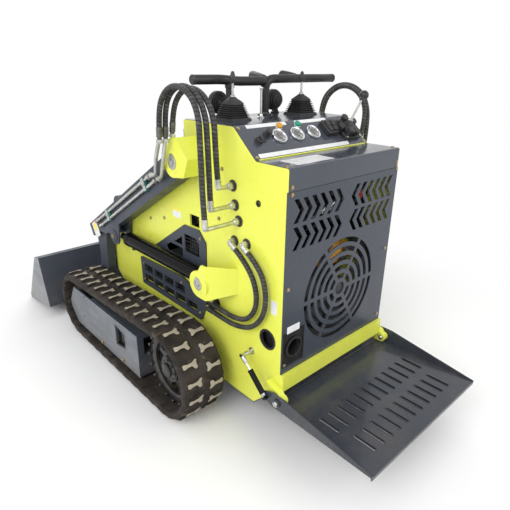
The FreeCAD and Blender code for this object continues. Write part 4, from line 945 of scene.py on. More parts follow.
# ---- covers, panels and what shows behind them ----------------------------------------------------
def add_covers():
    """Folded sheets over the body, with soft bends, and the side plates' lime edges beside them."""
    hood = rounded([(0, 931.5), (0, HOOD), (142, HOOD), (142, 990)], 7.0, 5, closed=False)
    make("rear_hood_sheet", [ribbon(hood, -286, 286)], ["hood"], replaced=["rear_hood"])
    top = rounded([(142, HOOD), (247, DECK), (516, DECK), (516, 1060)], 9.0, 5, closed=False)
    make("console_and_deck_sheet", [ribbon(top, -286, 286)], ["hood"],
         replaced=["console_panel", "top_deck"])
    front = rounded([(516, 1059), (516, 975), (1173, 440), (1173, 318)], 12.0, 6, closed=False)
    seams = [ribbon(front, -HALF, HALF)]
    for y in (-180.0, 180.0):
        for x, z in ((560, 939.2), (1120, 483.2)):
            seams += bolt((x, y, z), (0.6314, 0, 0.7755), 6.0, 1)
    make("front_hood_sheet", seams, ["hood", "bolt"], replaced=["front_hood"])
    edge = rounded([(1.5, 932), (1.5, HOOD - 1.5), (142, HOOD - 1.5), (247, DECK - 1.5),
                    (514.5, DECK - 1.5), (514.5, 1062)], 8.0, 5, closed=False)
    lip = slab(rectangle(-1.5, 2.0, -272, 272, 0.8), 0.0, 2.0, CONSOLE_FOOT, CONSOLE_AXES, 0.4)
    make("side_plate_edges", pair([ribbon(edge, 285.5, HALF - 0.3, 5.0)]) + [lip], ["lime"])


def add_bolts():
    """Bolts of the rear panel, console and rear hood, and of both side plates."""
    places = ((274, 945), (273, 923), (-275, 950), (-280, 929), (273, 616), (-267, 619),
              (-268, 329), (276, 332))
    centre = bolts([(0, y, z) for y, z in places], BACK, 5.2)
    side = side_bolts([(301, 952), (322, 776), (790, 664), (682, 691)], HALF, 5.5)
    side += side_bolts([(428, 672), (724, 548), (428, 560)], HALF + 5, 5.0)
    side += side_bolts([(438, 358), (862, 434), (560, 446), (862, 356)], HALF + 12, 5.0)
    for y in (-274.0, 274.0):
        for along in (10, 128):
            centre += bolt(console_place(along, y), CONSOLE_AXES[2], 4.6)
        centre += bolt((22, y, HOOD), UP, 4.6)
    make("panel_bolts", centre + pair(side), ["bolt"])


def add_exhaust_outlet():
    """Plate with a round hole, flange ring with four bolts, and the pipe's tip inside it."""
    seat = (0, 233, 389)
    outline = rectangle(-54, 54, -69, 69, 6)
    circle = outline / np.linalg.norm(outline, axis=1)[:, None] * 36.0
    rows = [np.column_stack([np.full(len(q), x), q])
            for q, x in ((outline, 4.1), (outline, 6), (circle, 6), (circle, 4.1))]
    flange = [grid(np.stack(rows) + seat, wrap_u=True, wrap_v=True),
              hollow([(31, -4), (37, -4), (40, 1), (40, 4), (34, 6), (31, 4)], seat, BACK, 36)]
    corners = ((-44, -58), (44, -58), (-44, 58), (44, 58))
    flange += bolts([(3.9, seat[1] + a, seat[2] + b) for a, b in corners], BACK, 4.5)
    flange.append(hollow([(12, -70), (30.6, -70), (30.6, -4), (28, -4), (28, -66), (12, -66)],
                         seat, BACK, 36))
    make("exhaust_outlet", flange, ["exhaust"])


def add_panel_trim():
    """Bolts, exhaust outlet, grommets, the cross bar's end caps, the plate that closes the slit
    between platform and belly, and blank labels."""
    add_bolts()
    add_exhaust_outlet()
    ties = [hollow([(31, -8), (37.5, -8), (38.5, 0.2), (38.5, 1.6), (36, 2.8), (31, 2.2)],
                   (68, HALF, 408), OUT, 40),
            hollow([(6.5, -4), (9, 0.2), (11, 0.2), (11, 1.2), (8, 1.8), (6.5, 1)],
                   (123, HALF, 873), OUT, 28)]
    make("side_plate_grommets", pair(ties), ["plastic"])
    end = block(BAR[0] + 5.8, BAR[1] - 5.8, HALF - 6.0, HALF - 0.4, BAR[2] + 5.8, BAR[3] - 5.8, 0.6)
    make("cross_bar_end_caps", pair([end]), ["lime"])
    make("rear_toe_plate", [block(10, 47.5, -317, 317, 183, 187, 1.0)], ["slate"])
    side = [plate(560, 614, 716, 742, HALF, HALF + 0.8, XZ),
            plate(28, 56, 515, 565, HALF, HALF + 0.8, XZ),
            plate(560, 614, 744, 756, HALF, HALF + 0.8, XZ, 1)]
    rear = [plate(208, 268, 450, 476, -0.8, 0.3, YZ), plate(20, 96, 60, 230, HOOD, HOOD + 0.8)]
    make("body_blank_labels", pair(side) + rear, ["white_label", "yellow_label"])


def add_fan():
    """Cooling fan: a hub, seven blades and a shroud. A blade's section is an ellipse that turns
    a little more the further it is from the hub."""
    hub = (20.0, 0.0, 534.0)
    shapes = [revolve([(0, -14), (38, -14), (40, -10), (40, 12), (34, 16), (0, 16)], hub, BACK, 36)]
    span, chord = np.linspace(36, 168, 9)[:, None], np.linspace(0, TAU, 12, endpoint=False)
    for start in np.arange(7) * TAU / 7:
        turn = start + 0.0016 * span + 0.30 * np.cos(chord)
        x = 24 + 9 * np.cos(chord) + 1.4 * np.sin(chord) + 0 * span
        rows = np.stack([x, span * np.cos(turn), hub[2] + span * np.sin(turn)], 2)
        ends = [np.broadcast_to(r.mean(0), r.shape)[None] for r in (rows[0], rows[-1])]
        shapes.append(grid(np.concatenate([ends[0], rows, ends[1]]), wrap_v=True))
    shroud = [(176, -22), (182, -22), (206, -8), (214, 12), (214, 14), (204, 14), (198, -4),
              (178, -18)]
    shapes.append(hollow(shroud, hub, BACK, 72))
    make("cooling_fan", shapes, ["plastic"])


def add_engine_bay():
    """What shows through the grilles: fan, air cleaner, fluid tank with its cap and pipe arches, oil
    filters on their brackets, and nets of thin bars. The tank is black as painted shade behind the rear
    slots."""
    add_fan()
    cleaner = [(0, 0), (44, 0), (50, 6), (50, 22), (47, 24), (47, 30), (50, 32), (50, 100),
               (46, 112), (30, 118), (0, 118)]
    make("air_cleaner", [revolve(cleaner, (70, -60, 655), OUT, 40)], ["orange"])
    # The tank's black block stands in for the shade inside the bay behind the rear slots: painted shade,
    # with the red cap on it.
    tank = [block(50, 138, -196, 200, 694, 925, 7.0), block(58, 130, -150, 150, 925, 934, 2.0)]
    tank.append(revolve([(0, 0), (14, 0), (14, 6), (11, 8), (0, 8)], (50, -140, 847), BACK, 24, 1))
    for y, z in ((92, 838), (52, 848), (12, 852)):
        arch = [(42, y + 30, z - 26), (24, y + 12, z - 2), (22, y - 14, z + 8), (42, y - 32, z - 4)]
        tank.append(tube(rounded(arch, 20, 6, closed=False), 6.0, 14, 2))
    make("fluid_tank", tank, ["black", "red", "pipe"])
    can = [(0, -60), (30, -60), (33, -54), (33, -8), (30, -3), (16, -2), (14, 2), (0, 2)]
    filters = [revolve(can, (470, side * 262, 729), (0, side, 0), 32) for side in (1, -1)]
    for y0, y1 in ((214, 256), (-256, -214)):
        filters.append(block(446, 494, y0, y1, 690, 699))
    make("oil_filters", filters, ["plastic"])
    nets = [block(x - 2, x + 2, HALF - 14, HALF - 11, 586, 668, 0.6)
            for x in np.arange(462, 532, 14.0)]
    nets += [block(438, 692, HALF - 16, HALF - 13.5, z - 2, z + 2, 0.6)
             for z in np.arange(596, 668, 14.0)]
    nets += [block(448, 872, HALF - 16, HALF - 12, z - 2, z + 2, 0.6)
             for z in np.arange(352, 440, 12.0)]
    make("grille_nets", pair(nets), ["plastic"])


# ---- brackets, pins and cylinders -----------------------------------------------------------------
def add_pins():
    """Headed pins of the arms and lift cylinders, each with a nut, a keeper plate and a weld ring."""
    shapes, welds = [], []
    for (x, z), head, r in ((PIVOT, 27.0, 34.0), (LIFT_FOOT, 25.0, 32.0)):
        profile = [(0, 290), (17, 290), (17, 383), (head - 4, 383), (head - 3, 384), (head - 3, 385.4),
                   (head - 6, 386.2), (14, 386.2), (13, 384.4), (0, 384.4)]
        shapes.append(revolve(profile, (x, 0, z), OUT, 40))
        shapes.append(nut((x, 384.4, z), OUT, 10.0, 3.6))
        keeper = [(x - 9, z + head - 9), (x + 9, z + head - 9), (x + 11, z + head + 3),
                  (x - 11, z + head + 3)]
        shapes.append(slab(rounded(keeper, 3), 383.4, 386.6, frame_axes=XZ, edge=0.5))
        welds.append(hollow([(r - 6, 383), (r - 5, 384.6), (r, 385.2), (r + 3, 384.4), (r + 4, 383)],
                            (x, 0, z), OUT, 48))
    make("arm_and_cylinder_pins", pair(shapes), ["zinc"], replaced=["pivot_pins"])
    make("bracket_bosses", pair(welds), ["lime"])


def line_rings(base, tip, y, rings, count=36, tag=0):
    """Turned pieces along a cylinder's line, each given by where it starts and its profile."""
    base, tip = np.array((base[0], y, base[1])), np.array((tip[0], y, tip[1]))
    run = (tip - base) / np.linalg.norm(tip - base)
    return [revolve(profile, base + run * start, run, count, tag) for start, profile in rings]


COLLAR = [(25, 0), (31, 0.5), (31.5, 3), (31.5, 15), (30.8, 17), (25, 17), (25, 0)]


def gland(bore):
    """Profile of a cylinder's grooved gland nut round a rod's bore."""
    return [(25, 0), (31.4, 0), (31.4, 6), (30.6, 7), (30.6, 9), (31.4, 10), (31.4, 24), (29, 27),
            (bore, 27.4), (bore, 26), (25, 26), (25, 0)]


def add_lift_cylinders():
    """Collars, gland nuts, ports and rod wipers of both lift cylinders."""
    wiper = [(15.1, 0), (22, 0), (22, 3), (18, 5), (15.1, 5), (15.1, 0)]
    port = [(0, 26), (11, 26), (11, 38), (9, 40), (0, 40)]
    for side, y in (("left", CYLINDER_Y), ("right", -CYLINDER_Y)):
        shapes = line_rings(LIFT_FOOT, KNEE, y, [(36, COLLAR), (563.2, gland(15.4))])
        for along in (66.0, 548.0):
            place = (LIFT_FOOT[0] + along, y, LIFT_FOOT[1] - along * 0.0119)
            shapes.append(revolve(port, place, (0, 0, -1), 24))
        make(f"{side}_lift_collars", shapes, ["black"], f"{side}_lift_barrel")
        rings = line_rings(LIFT_FOOT, KNEE, y, [(588, wiper)])
        make(f"{side}_lift_wiper", rings, ["zinc"], f"{side}_lift_barrel")


def add_cylinders():
    """Trim of the lift cylinders, the tilt cylinder and the platform's strut."""
    add_lift_cylinders()
    tilted = math.radians(-11)
    tip = (BUCKET_PIN[0] - 45 * math.cos(tilted) - 90 * math.sin(tilted),
           BUCKET_PIN[1] - 45 * math.sin(tilted) + 90 * math.cos(tilted))
    shapes = line_rings(TILT_FOOT, tip, 0.0, [(36, COLLAR), (373, gland(16.4))])
    make("tilt_collars", shapes, ["black"], "tilt_barrel")
    low = [(5, 0), (8, 0), (10.4, 2.5), (10.4, 5), (5, 5), (5, 0)]
    high = [(4.7, 0), (10.4, 0), (10.4, 3), (8, 5.5), (4.7, 5.5), (4.7, 0)]
    collars = line_rings(STRUT_LOW, STRUT_HIGH, STRUT_Y, [(14, low), (99, high)], 24)
    make("strut_collars", collars, ["black"], "strut_tube")
    low = [(0, 0), (7, 0), (8.8, 5), (8.8, 30), (8.2, 33), (0, 33)]
    socket = line_rings(STRUT_LOW, STRUT_HIGH, STRUT_Y, [(2, low)], 24)
    make("strut_low_socket", socket, ["zinc"], "strut_tube")
    high = [(0, 0), (8, 0), (9.4, 4), (9.4, 11), (8.4, 12), (8.4, 26), (7, 29), (5.0, 30), (0, 30)]
    socket = line_rings(STRUT_HIGH, STRUT_LOW, STRUT_Y, [(2, high)], 24)
    make("strut_high_socket", socket, ["zinc"], "strut_rod")


def add_arm_trim():
    """Weld beads of the arms' pins, caps of the bucket's and tilt cylinder's pins, knee bolts."""
    pivot, knee, pin = ((x, 0, z) for x, z in (PIVOT, KNEE, BUCKET_PIN))
    beads = [hollow([(17.2, 363), (34, 363), (34, 365), (31, 366.5), (17.2, 366.5)], pivot, OUT, 40),
             revolve([(0, 363), (30, 363), (30, 366), (26, 368.5), (12, 368.5), (10, 367), (0, 367)],
                     knee, OUT, 40),
             hollow([(12.2, 343), (26, 343), (26, 345), (23, 346.5), (12.2, 346.5)], pin, OUT, 36)]
    make("arm_bosses", pair(beads), ["slate"], "lift_arms")
    cap = revolve([(0, 345), (11.8, 345), (11.8, 348), (10, 350), (0, 350)], pin, OUT, 28)
    make("bucket_pin_caps", pair([cap]), ["zinc"], "bucket")
    make("knee_pin_bolts", pair(side_bolts([KNEE], 368, 7.0)), ["bolt"], "lift_arms")
    stub = revolve([(0, 45), (13.8, 45), (13.8, 50), (12, 52), (0, 52)],
                   (TILT_FOOT[0], 0, TILT_FOOT[1]), OUT, 28)
    make("tilt_pin_caps", pair([stub]), ["zinc"], "tilt_barrel")


# ---- console and controls -------------------------------------------------------------------------
def on_console(profile, along, y, count=32, tag=0):
    """Turned piece standing on the console."""
    return revolve(profile, console_place(along, y), CONSOLE_AXES[2], count, tag)


def console_slab(a0, a1, y0, y1, low, high, radius=2.0, edge=0.3, tag=0):
    """Rounded plate lying on the console."""
    return slab(rectangle(a0, a1, y0, y1, radius), low, high, CONSOLE_FOOT, CONSOLE_AXES, edge, tag)


def add_console():
    """Gauges with chromed rims, push buttons, switches and blank strips on the sloped console."""
    bezel = [(22, 2), (22, 0), (28, 0), (29, 1.5), (29, 6), (27.5, 8.6), (25, 9), (23.2, 7.6),
             (22, 6), (22, 2)]
    dial = [(0, 6.4), (8, 6.4), (14, 6.4), (19, 6.4), (22.6, 6.4), (22.6, 3), (0, 3)]
    key_switch = [(0, 0), (15, 0), (15, 2), (13, 3), (12.5, 12), (10, 14), (0, 14)]
    knob = [(0, 0), (16, 0), (16, 2), (10, 3), (8, 14), (11, 17), (11, 22), (8, 24), (0, 24)]
    shapes = []
    for y in (130.0, 45.0, -38.0):
        shapes += [on_console(bezel, 78, y, 48, 1), on_console(dial, 78, y, 48, 2)]
    shapes.append(on_console(key_switch, 70, 226))
    shapes.append(console_slab(60, 80, 223.5, 228.5, 13, 20, 2.0, 1.0))
    shapes.append(on_console(knob, 90, 178))
    collar = [(0, 0), (13, 0), (13, 3), (11.5, 4), (0, 4)]
    button = [(0, 3.5), (11, 3.5), (11.5, 9), (10, 12), (6, 13.6), (0, 14)]
    for y, tag in ((104.0, 3), (14.0, 4)):
        shapes += [on_console(collar, 118, y, 28, 1), on_console(button, 118, y, 28, tag)]
    shapes.append(console_slab(52, 114, -152, -96, 0, 20, 5.0, 2.5))
    for y in (-138.0, -111.0):
        shapes.append(console_slab(60, 106, y - 10, y + 10, 20, 25.5, 3.0, 2.0))
        shapes.append(console_slab(80, 104, y - 8, y + 8, 24, 28.5, 3.0, 1.5))
    for along, width, y0, y1 in ((6, 16, -185, 262), (124, 14, 60, 240), (124, 14, -150, 15)):
        shapes.append(console_slab(along, along + width, y0, y1, 0, 0.8, 2.0, 0.2, 5))
    make("console_gauges_and_switches", shapes,
         ["plastic", "chrome", "dial", "orange", "green", "white_label"],
         replaced=["console_instruments"])


def add_valve():
    """Spool valve at the console's right end: block with ribs, bellows, bright lever and ball knob."""
    foot, out = console_place(70, -206), CONSOLE_AXES[2]
    start = foot + out * 28
    knob = np.array((200.0, -322.0, 1168.0))
    shapes = [console_slab(24, 112, -262, -172, 0, 14, 6.0, 2.0),
              console_slab(34, 102, -250, -180, 14, 30, 6.0, 3.0)]
    for along, y, tall in ((38, -186, 46), (36, -222, 40), (70, -170, 34), (100, -204, 44),
                           (84, -246, 38)):
        spool_cap = [(0, 8), (11, 8), (11, tall - 14), (14, tall - 12), (14, tall - 3), (11, tall),
                     (0, tall)]
        shapes.append(on_console(spool_cap, along, y, 24))
    folds = [(0, 26), (24, 26)]
    for i in range(4):
        folds += [(23 - 3 * i, 30 + 4 * i), (18 - 3 * i, 33 + 4 * i)]
    shapes.append(revolve(folds + [(7, 47), (0, 47)], foot, out, 28))
    shapes.append(tube([start, start + (knob - start) * 0.45, knob], 5.0, 16, 1))
    shapes.append(nut(start + (knob - start) * 0.12, knob - start, 9.0, 10.0, 1))
    angle = np.linspace(0, math.pi, 13)
    ball = np.column_stack([18 * np.sin(angle), -18 * np.cos(angle)])
    shapes.append(revolve(ball, knob, knob - start, 28))
    neck = [(0, -28), (8, -28), (10, -20), (9, -14), (0, -14)]
    shapes.append(revolve(neck, knob, knob - start, 20))
    for y in (-181.0, -253.0):
        shapes += bolt(console_place(30, y, 14), out, 4.0, 1)
    make("valve_and_lever", shapes, ["plastic", "zinc"],
         replaced=["valve_lever"])


def square_ring(size, corner=5.0, count=48):
    """Rounded square: a |cos|^(2/n) and a |sin|^(2/n) with their signs, half its side being a."""
    t = np.linspace(0, TAU, count, endpoint=False)
    turn = np.stack([np.cos(t), np.sin(t)], 1)
    return size * (np.sign(turn) * np.abs(turn) ** (2 / corner))


def add_levers():
    """Square bellows boots in thin steps on their plates, with bright levers and pointed grips, and
    a third, thinner lever between them."""
    boots, levers = [], []
    steps = [(0, 0, 5), (49, 0, 14), (49, 2, 14), (47, 5, 12), (46, 8, 11), (40, 9.5, 9)]
    for i in range(6):
        size, low = 45.5 - 2.4 * i, 11.5 + 6.6 * i
        steps += [(size - 6, low, 9), (size, low + 1.2, 9), (size, low + 3.0, 9),
                  (size - 6, low + 4.4, 8)]
    steps += [(30, 51.5, 7), (30, 54, 7), (26, 60, 5.5), (18, 67, 4), (12, 72, 2.6), (10.5, 75, 2),
              (0, 75, 2)]
    rows = []
    for size, height, corner in steps:
        ring = square_ring(size, corner)
        rows.append(np.column_stack([ring, np.full(len(ring), height)]))
    boot = grid(np.stack(rows), wrap_v=True)
    grip = [(0, -4), (6, -4), (8.5, 0), (10, 6), (9.6, 14), (7.6, 24), (5.2, 31), (3.2, 33.6), (0, 34)]
    for y in (172.0, -172.0):
        boots.append(boot.moved(np.eye(3), (385, y, DECK)))
        levers.append(tube([(385, y, 1166), (385, y, 1190), (385, y, 1218)], 4.0, 16, 1))
        levers.append(revolve([(0, 0), (8, 0), (8, 5), (5.5, 8), (0, 8)], (385, y, 1168), UP, 24, 1))
        levers.append(revolve(grip, (385, y, 1216), UP, 28))
    levers.append(tube([(377, 47, DECK + 1), (377, 47, 1150), (377, 47, 1197)], 4.0, 16, 1))
    levers.append(revolve([(0, 0), (13, 0), (13, 3), (8, 6), (6, 14), (0, 14)], (377, 47, DECK),
                          UP, 24, 1))
    levers.append(nut((377, 47, 1190), UP, 7.0, 8.0, 1))
    make("bellows_boots", boots, ["bellows"], replaced=["lever_boots"])
    make("lever_grips", levers, ["plastic", "zinc"], replaced=["drive_levers"])


def add_rail():
    """Foam-covered grab frame: two cross bars, two posts on round feet and two forward horns."""
    high, foam, post_radius, x = 1222.0, 16.0, 14.0, 447
    bend = [(458, 289, 1222), (450, 165, 1222), (437, 110, 1216), (437, 0, 1215), (x, -38, 1216)]
    right = [(x, -38, DECK), (x, -38, high), (x, -260, high), (x, -434, high)]
    shapes = [bar(rounded(bend, 30, 6, closed=False), foam, 24),
              bar(rounded(right, 46.0, 9, closed=False), foam, 24)]
    posts = (134, -38)
    for y in posts:
        shapes.append(tube([(x, y, DECK), (x, y, 1150), (x, y, high)], post_radius, 24))
    shapes.append(bar([(444, -38, 1218), (500, -52, 1227), (560, -67, 1235)], foam, 24))
    shapes.append(bar([(x, -216, high), (495, -212, 1231), (540, -206, 1237)], foam, 24))
    foot = [(0, 0), (26, 0), (26, 4), (19, 6), (17, 12), (0, 12)]
    collar = [(14, -16), (16.5, -14), (17, -6), (17, 2), (14, 6)]
    for y in posts:
        shapes.append(revolve(foot, (x, y, DECK), UP, 32, 1))
        shapes.append(hollow(collar, (x, y, 1208), UP, 28))
    cap = [(0, -10), (16.4, -10), (16.4, -1), (13, 2.0), (0, 2.0)]
    for end in ((458, 287.0, high), (x, -432.0, high)):
        shapes.append(revolve(cap, end, (0, math.copysign(1, end[1]), 0), 28, 1))
    make("foam_grab_frame", shapes, ["rail", "plastic"],
         replaced=["hand_rail"])


def add_lamps():
    """Round work lamps: finned housing, bezel, ribbed lens to the front, fork bracket and bolt."""
    housing = [(0, 0), (14, 0), (16, 3), (26, 4), (26, 6), (20, 7), (20, 9), (31, 10), (31, 12),
               (24, 13), (24, 15), (35, 16), (35, 18), (29, 19), (29, 21), (38, 22), (40, 26),
               (40, 42), (38, 44), (36, 44), (35, 40), (0, 40)]
    lens = [(0, 42.8), (10, 42.6), (22, 42), (35, 41), (35.2, 39), (0, 39)]
    shapes = []
    for y in (140.0, -140.0):
        seat = (474, y, 1142)
        shapes += [revolve(housing, seat, FRONT, 44), revolve(lens, seat, FRONT, 44, 1)]
        shapes.append(block(486, 502, y - 18, y + 18, DECK, DECK + 4, 1.0))
        fork = [(y - 16, 1096), (y + 16, 1096), (y + 10, 1112), (y - 10, 1112)]
        shapes.append(slab(rounded(fork, 3), 489, 499, frame_axes=YZ, edge=0.8))
        shapes += bolt((494, y + 14, DECK + 4), UP, 3.5, 2)
    make("round_work_lamps", shapes, ["plastic", "lens", "bolt"],
         replaced=["work_lights"])


# ---- bucket and platform --------------------------------------------------------------------------
def add_bucket_trim():
    """Bolts along the cutting edge and wear bars on the side plates, in the bucket's tilted axes."""
    a = math.radians(11.0)
    turn = np.array(((math.cos(a), 0, math.sin(a)), OUT, (-math.sin(a), 0, math.cos(a))))
    shapes = bolts([(320, y, -20) for y in np.linspace(-480, 480, 7)], UP, 7.0, 1)
    for y0, y1 in ((-564.5, -556.0), (556.0, 564.5)):
        shapes.append(block(46, 104, y0, y1, 176, 218, 1.5))
    placed = [s.moved(turn, (BUCKET_PIN[0], 0, BUCKET_PIN[1])) for s in shapes]
    make("bucket_trim", placed, ["bucket", "bolt"], "bucket")


def add_platform_trim():
    """Raised rims round the tread's slots, the hinge's nuts, and bolt heads inside the body."""
    rear, tread = -404.0, 191.0
    shapes = []
    for x0, count in ((rear + 50, 11), (rear + 172, 12)):
        for i in range(count):
            y = (i - (count - 1) / 2.0) * 46.0
            outline = rectangle(x0, x0 + 88, y - 6, y + 6, 5.4)
            shapes.append(rim(outline, 2.4, tread - 10.0, tread + 0.9))
    make("tread_slot_rims", shapes, ["tread"], "platform", sharp=50)
    make("platform_hinge_caps", pair([nut(HINGE, OUT, 11.0, 7.0)]), ["zinc"], "platform")
    heads = bolt((HINGE[0], HALF, HINGE[2]), (0, -1, 0), 8.5)
    make("hinge_pin_heads", pair(heads), ["zinc"])


# ---- stage ----------------------------------------------------------------------------------------
WHITE = (1.0, 1.0, 1.0)
FLOOR_REACH = 30.0                          # metres from the middle to the floor's edges
EYE = (-0.8812, 1.2296, 1.2693)             # the camera, in metres from the rear panel
AIM = (0.1, 0.0, 0.5)                       # what the lamps look at, in the frame


def add_camera():
    """Camera at standing height behind the machine's left rear corner."""
    pitch, yaw, roll = (math.radians(d) for d in (22.446, -42.731, 0.728))
    look = Vector((math.cos(pitch) * math.cos(yaw), math.cos(pitch) * math.sin(yaw), -math.sin(pitch)))
    right = look.cross(Vector((0, 0, 1))).normalized()
    up = right.cross(look)
    turn = Matrix((right, up, -look)).transposed() @ Matrix.Rotation(roll, 3, "Z")
    lens = bpy.data.cameras.new("camera")
    lens.sensor_width, lens.lens, lens.clip_end = 36.0, 32.47, 100.0
    camera = bpy.data.objects.new("camera", lens)
    eye = Vector((EYE[0] + REAR_X, *EYE[1:]))
    camera.matrix_world = Matrix.Translation(eye) @ turn.to_4x4()
    bpy.context.scene.collection.objects.link(camera)
    bpy.context.scene.camera = camera


def seen_directly(nodes):
    """1 for rays from the camera, from gloss and through glass, else 0."""
    path = nodes.add("LightPath").outputs
    total = path["Is Camera Ray"]
    for name in ("Is Glossy Ray", "Is Transmission Ray"):
        total = nodes.maths("MAXIMUM", total, path[name])
    return total


def add_world(light):
    """Even pale light all round, with a plain white background behind it."""
    world = bpy.data.worlds.new("studio")
    nodes = Nodes(world)
    nodes.tree.nodes.clear()
    lit, seen = (nodes.add("Background", Strength=strength, Color=WHITE).outputs[0]
                 for strength in (light, 1.0))
    mix = nodes.add("MixShader", n0=seen_directly(nodes), n1=lit, n2=seen)
    nodes.add("OutputWorld", n0=mix.outputs[0])
    bpy.context.scene.world = world


def add_floor(tone):
    """Pale studio floor that keeps the machine's shadow and turns to plain white further out."""
    material = bpy.data.materials.new("studio floor")
    nodes = Nodes(material)
    nodes.tree.nodes.clear()
    diffuse = nodes.add("BsdfDiffuse", Color=(tone, tone, tone)).outputs[0]
    white = nodes.add("Emission", Color=WHITE).outputs[0]
    place = nodes.add("TexCoord").outputs["Object"]
    length = nodes.add("VectorMath", {"operation": "LENGTH"}, n0=place).outputs["Value"]
    fade = nodes.add("MapRange", {"interpolation_type": "SMOOTHSTEP"}, n0=length, n1=1.0, n2=2.0)
    amount = nodes.maths("MULTIPLY", fade.outputs[0], seen_directly(nodes))
    mix = nodes.add("MixShader", n0=amount, n1=diffuse, n2=white)
    nodes.add("OutputMaterial", n0=mix.outputs[0])
    mesh = bpy.data.meshes.new("studio_floor")
    reach = FLOOR_REACH
    mesh.from_pydata([(-reach, -reach, 0), (reach, -reach, 0), (reach, reach, 0), (-reach, reach, 0)],
                     [], [(0, 1, 2, 3)])
    mesh.materials.append(material)
    floor = bpy.data.objects.new("studio_floor", mesh)
    bpy.context.scene.collection.objects.link(floor)


def add_lamp(name, place, power, size):
    """Soft square lamp that looks at the machine's middle."""
    light = bpy.data.lights.new(name, "AREA")
    light.energy, light.size = power, size
    lamp = bpy.data.objects.new(name, light)
    turn = (Vector(AIM) - Vector(place)).to_track_quat("-Z", "Y")
    lamp.matrix_world = Matrix.Translation(Vector(place)) @ turn.to_matrix().to_4x4()
    bpy.context.scene.collection.objects.link(lamp)


def add_lights():
    """World light, floor, three soft lamps (left rear, right rear, front) and a small one in the bay."""
    bpy.context.scene.view_settings.view_transform = "Standard"
    add_world(0.74)
    add_floor(0.93)
    add_lamp("key_light", (-1.4, 3.6, 3.0), 106.0, 2.8)
    add_lamp("rear_light", (-3.6, -0.8, 2.4), 40.0, 2.4)
    add_lamp("bay_light", (0.26 + REAR_X, -0.12, 0.80), 1.6, 0.1)
    add_lamp("front_light", (3.4, -1.6, 2.8), 40.0, 2.4)


# ---- finishes of the model's own nodes ------------------------------------------------------------
NODE_FINISHES = {
    "lime": ("left_side_plate", "right_side_plate", "cross_bar", "arm_brackets",
             "cylinder_brackets"),
    "panel": ("rear_panel",),
    "slate": ("belly_plate", "side_grilles", "track_beams", "left_lift_arm", "right_lift_arm",
              "arm_cross_tubes", "attachment_plate"),
    "iron": ("engine_block", "sprockets", "idlers", "track_rollers"),
    "exhaust": ("exhaust",),
    "frame": ("track_frames",),
    "bucket": ("bucket_shell",),
    "edge": ("cutting_edge",),
    "tread": ("step_platform",),
    "black": ("left_lift_barrel", "right_lift_barrel", "tilt_barrel", "strut_tube"),
    "chrome": ("left_lift_rod", "right_lift_rod", "tilt_rod", "strut_rod"),
}


def finish_nodes():
    """Give each node that stays its finish."""
    for key, nodes in NODE_FINISHES.items():
        for node in nodes:
            piece = NODES[node]
            if not piece.material_slots:
                piece.data.materials.append(None)
            for holder in piece.material_slots:
                holder.material = finish_of(key)


# ---- add-on ---------------------------------------------------------------------------------------
def colour(name, description, default):
    """Colour setting."""
    return FloatVectorProperty(name=name, description=description, subtype="COLOR", size=3,
                               min=0.0, max=1.0, default=default)


class LoaderPaint(bpy.types.PropertyGroup):
    """Colours of the powder coats."""

    lime: colour("Lime", "Body powder coat", (0.750, 0.785, 0.104))
    lime_shade: colour("Lime shade", "Darker patches of the body coat", (0.735, 0.775, 0.085))
    slate: colour("Slate", "Powder coat of covers, arms and platform", (0.056, 0.064, 0.082))
    slate_shade: colour("Slate shade", "Darker patches of the slate coat", (0.046, 0.053, 0.069))


class LoaderSizes(bpy.types.PropertyGroup):
    """Sizes of the detail pieces."""

    lug_height: FloatProperty(name="Lug height", description="Height of the track lugs above the belt",
                              default=0.0105, min=0.004, max=0.02, unit="LENGTH")
    track_pitches: IntProperty(name="Track pitches", description="Lug pitches round one track",
                               default=37, min=20, max=60)
    hose_diameter: FloatProperty(name="Hose diameter", description="Outside of the braided hoses",
                                 default=0.018, min=0.008, max=0.03, unit="LENGTH")


# ---- operators: one for each piece or group of like pieces ----------------------------------------
class LoaderCamera(bpy.types.Operator):
    """Camera behind the left rear corner"""

    bl_idname = "loader.camera"
    bl_label = "Camera"

    def execute(self, context):
        add_camera()
        return {"FINISHED"}


class LoaderUpperHoses(bpy.types.Operator):
    """Braided hoses that arch over to the lift arms"""

    bl_idname = "loader.upper_hoses"
    bl_label = "Upper hoses"

    def execute(self, context):
        for name in UPPER_ROUTES:
            add_hose(name, context.scene.loader_sizes)
        return {"FINISHED"}


class LoaderLowerHoses(bpy.types.Operator):
    """Braided hoses of the lift cylinders"""

    bl_idname = "loader.lower_hoses"
    bl_label = "Lower hoses"

    def execute(self, context):
        for name in LOWER_ROUTES:
            add_hose("left_" + name, context.scene.loader_sizes)
            add_hose("right_" + name, context.scene.loader_sizes)
        return {"FINISHED"}


class LoaderFittings(bpy.types.Operator):
    """Crimps, bent pipes, unions and grommets of the hoses"""

    bl_idname = "loader.fittings"
    bl_label = "Hose fittings"

    def execute(self, context):
        add_fittings()
        return {"FINISHED"}


class LoaderNodes(bpy.types.Operator):
    """Finishes of the model's own nodes"""

    bl_idname = "loader.node_finishes"
    bl_label = "Node finishes"

    def execute(self, context):
        finish_nodes()
        return {"FINISHED"}


class LoaderTracks(bpy.types.Operator):
    """Moulded belts with staggered lugs"""

    bl_idname = "loader.tracks"
    bl_label = "Rubber tracks"

    def execute(self, context):
        add_tracks(context.scene.loader_sizes)
        return {"FINISHED"}


class LoaderUndercarriage(bpy.types.Operator):
    """Drive hubs, and bolts and plates of the track frames"""

    bl_idname = "loader.undercarriage"
    bl_label = "Undercarriage trim"

    def execute(self, context):
        add_undercarriage()
        return {"FINISHED"}


class LoaderCovers(bpy.types.Operator):
    """Folded covers with soft bends and lime edges"""

    bl_idname = "loader.covers"
    bl_label = "Covers"

    def execute(self, context):
        add_covers()
        return {"FINISHED"}


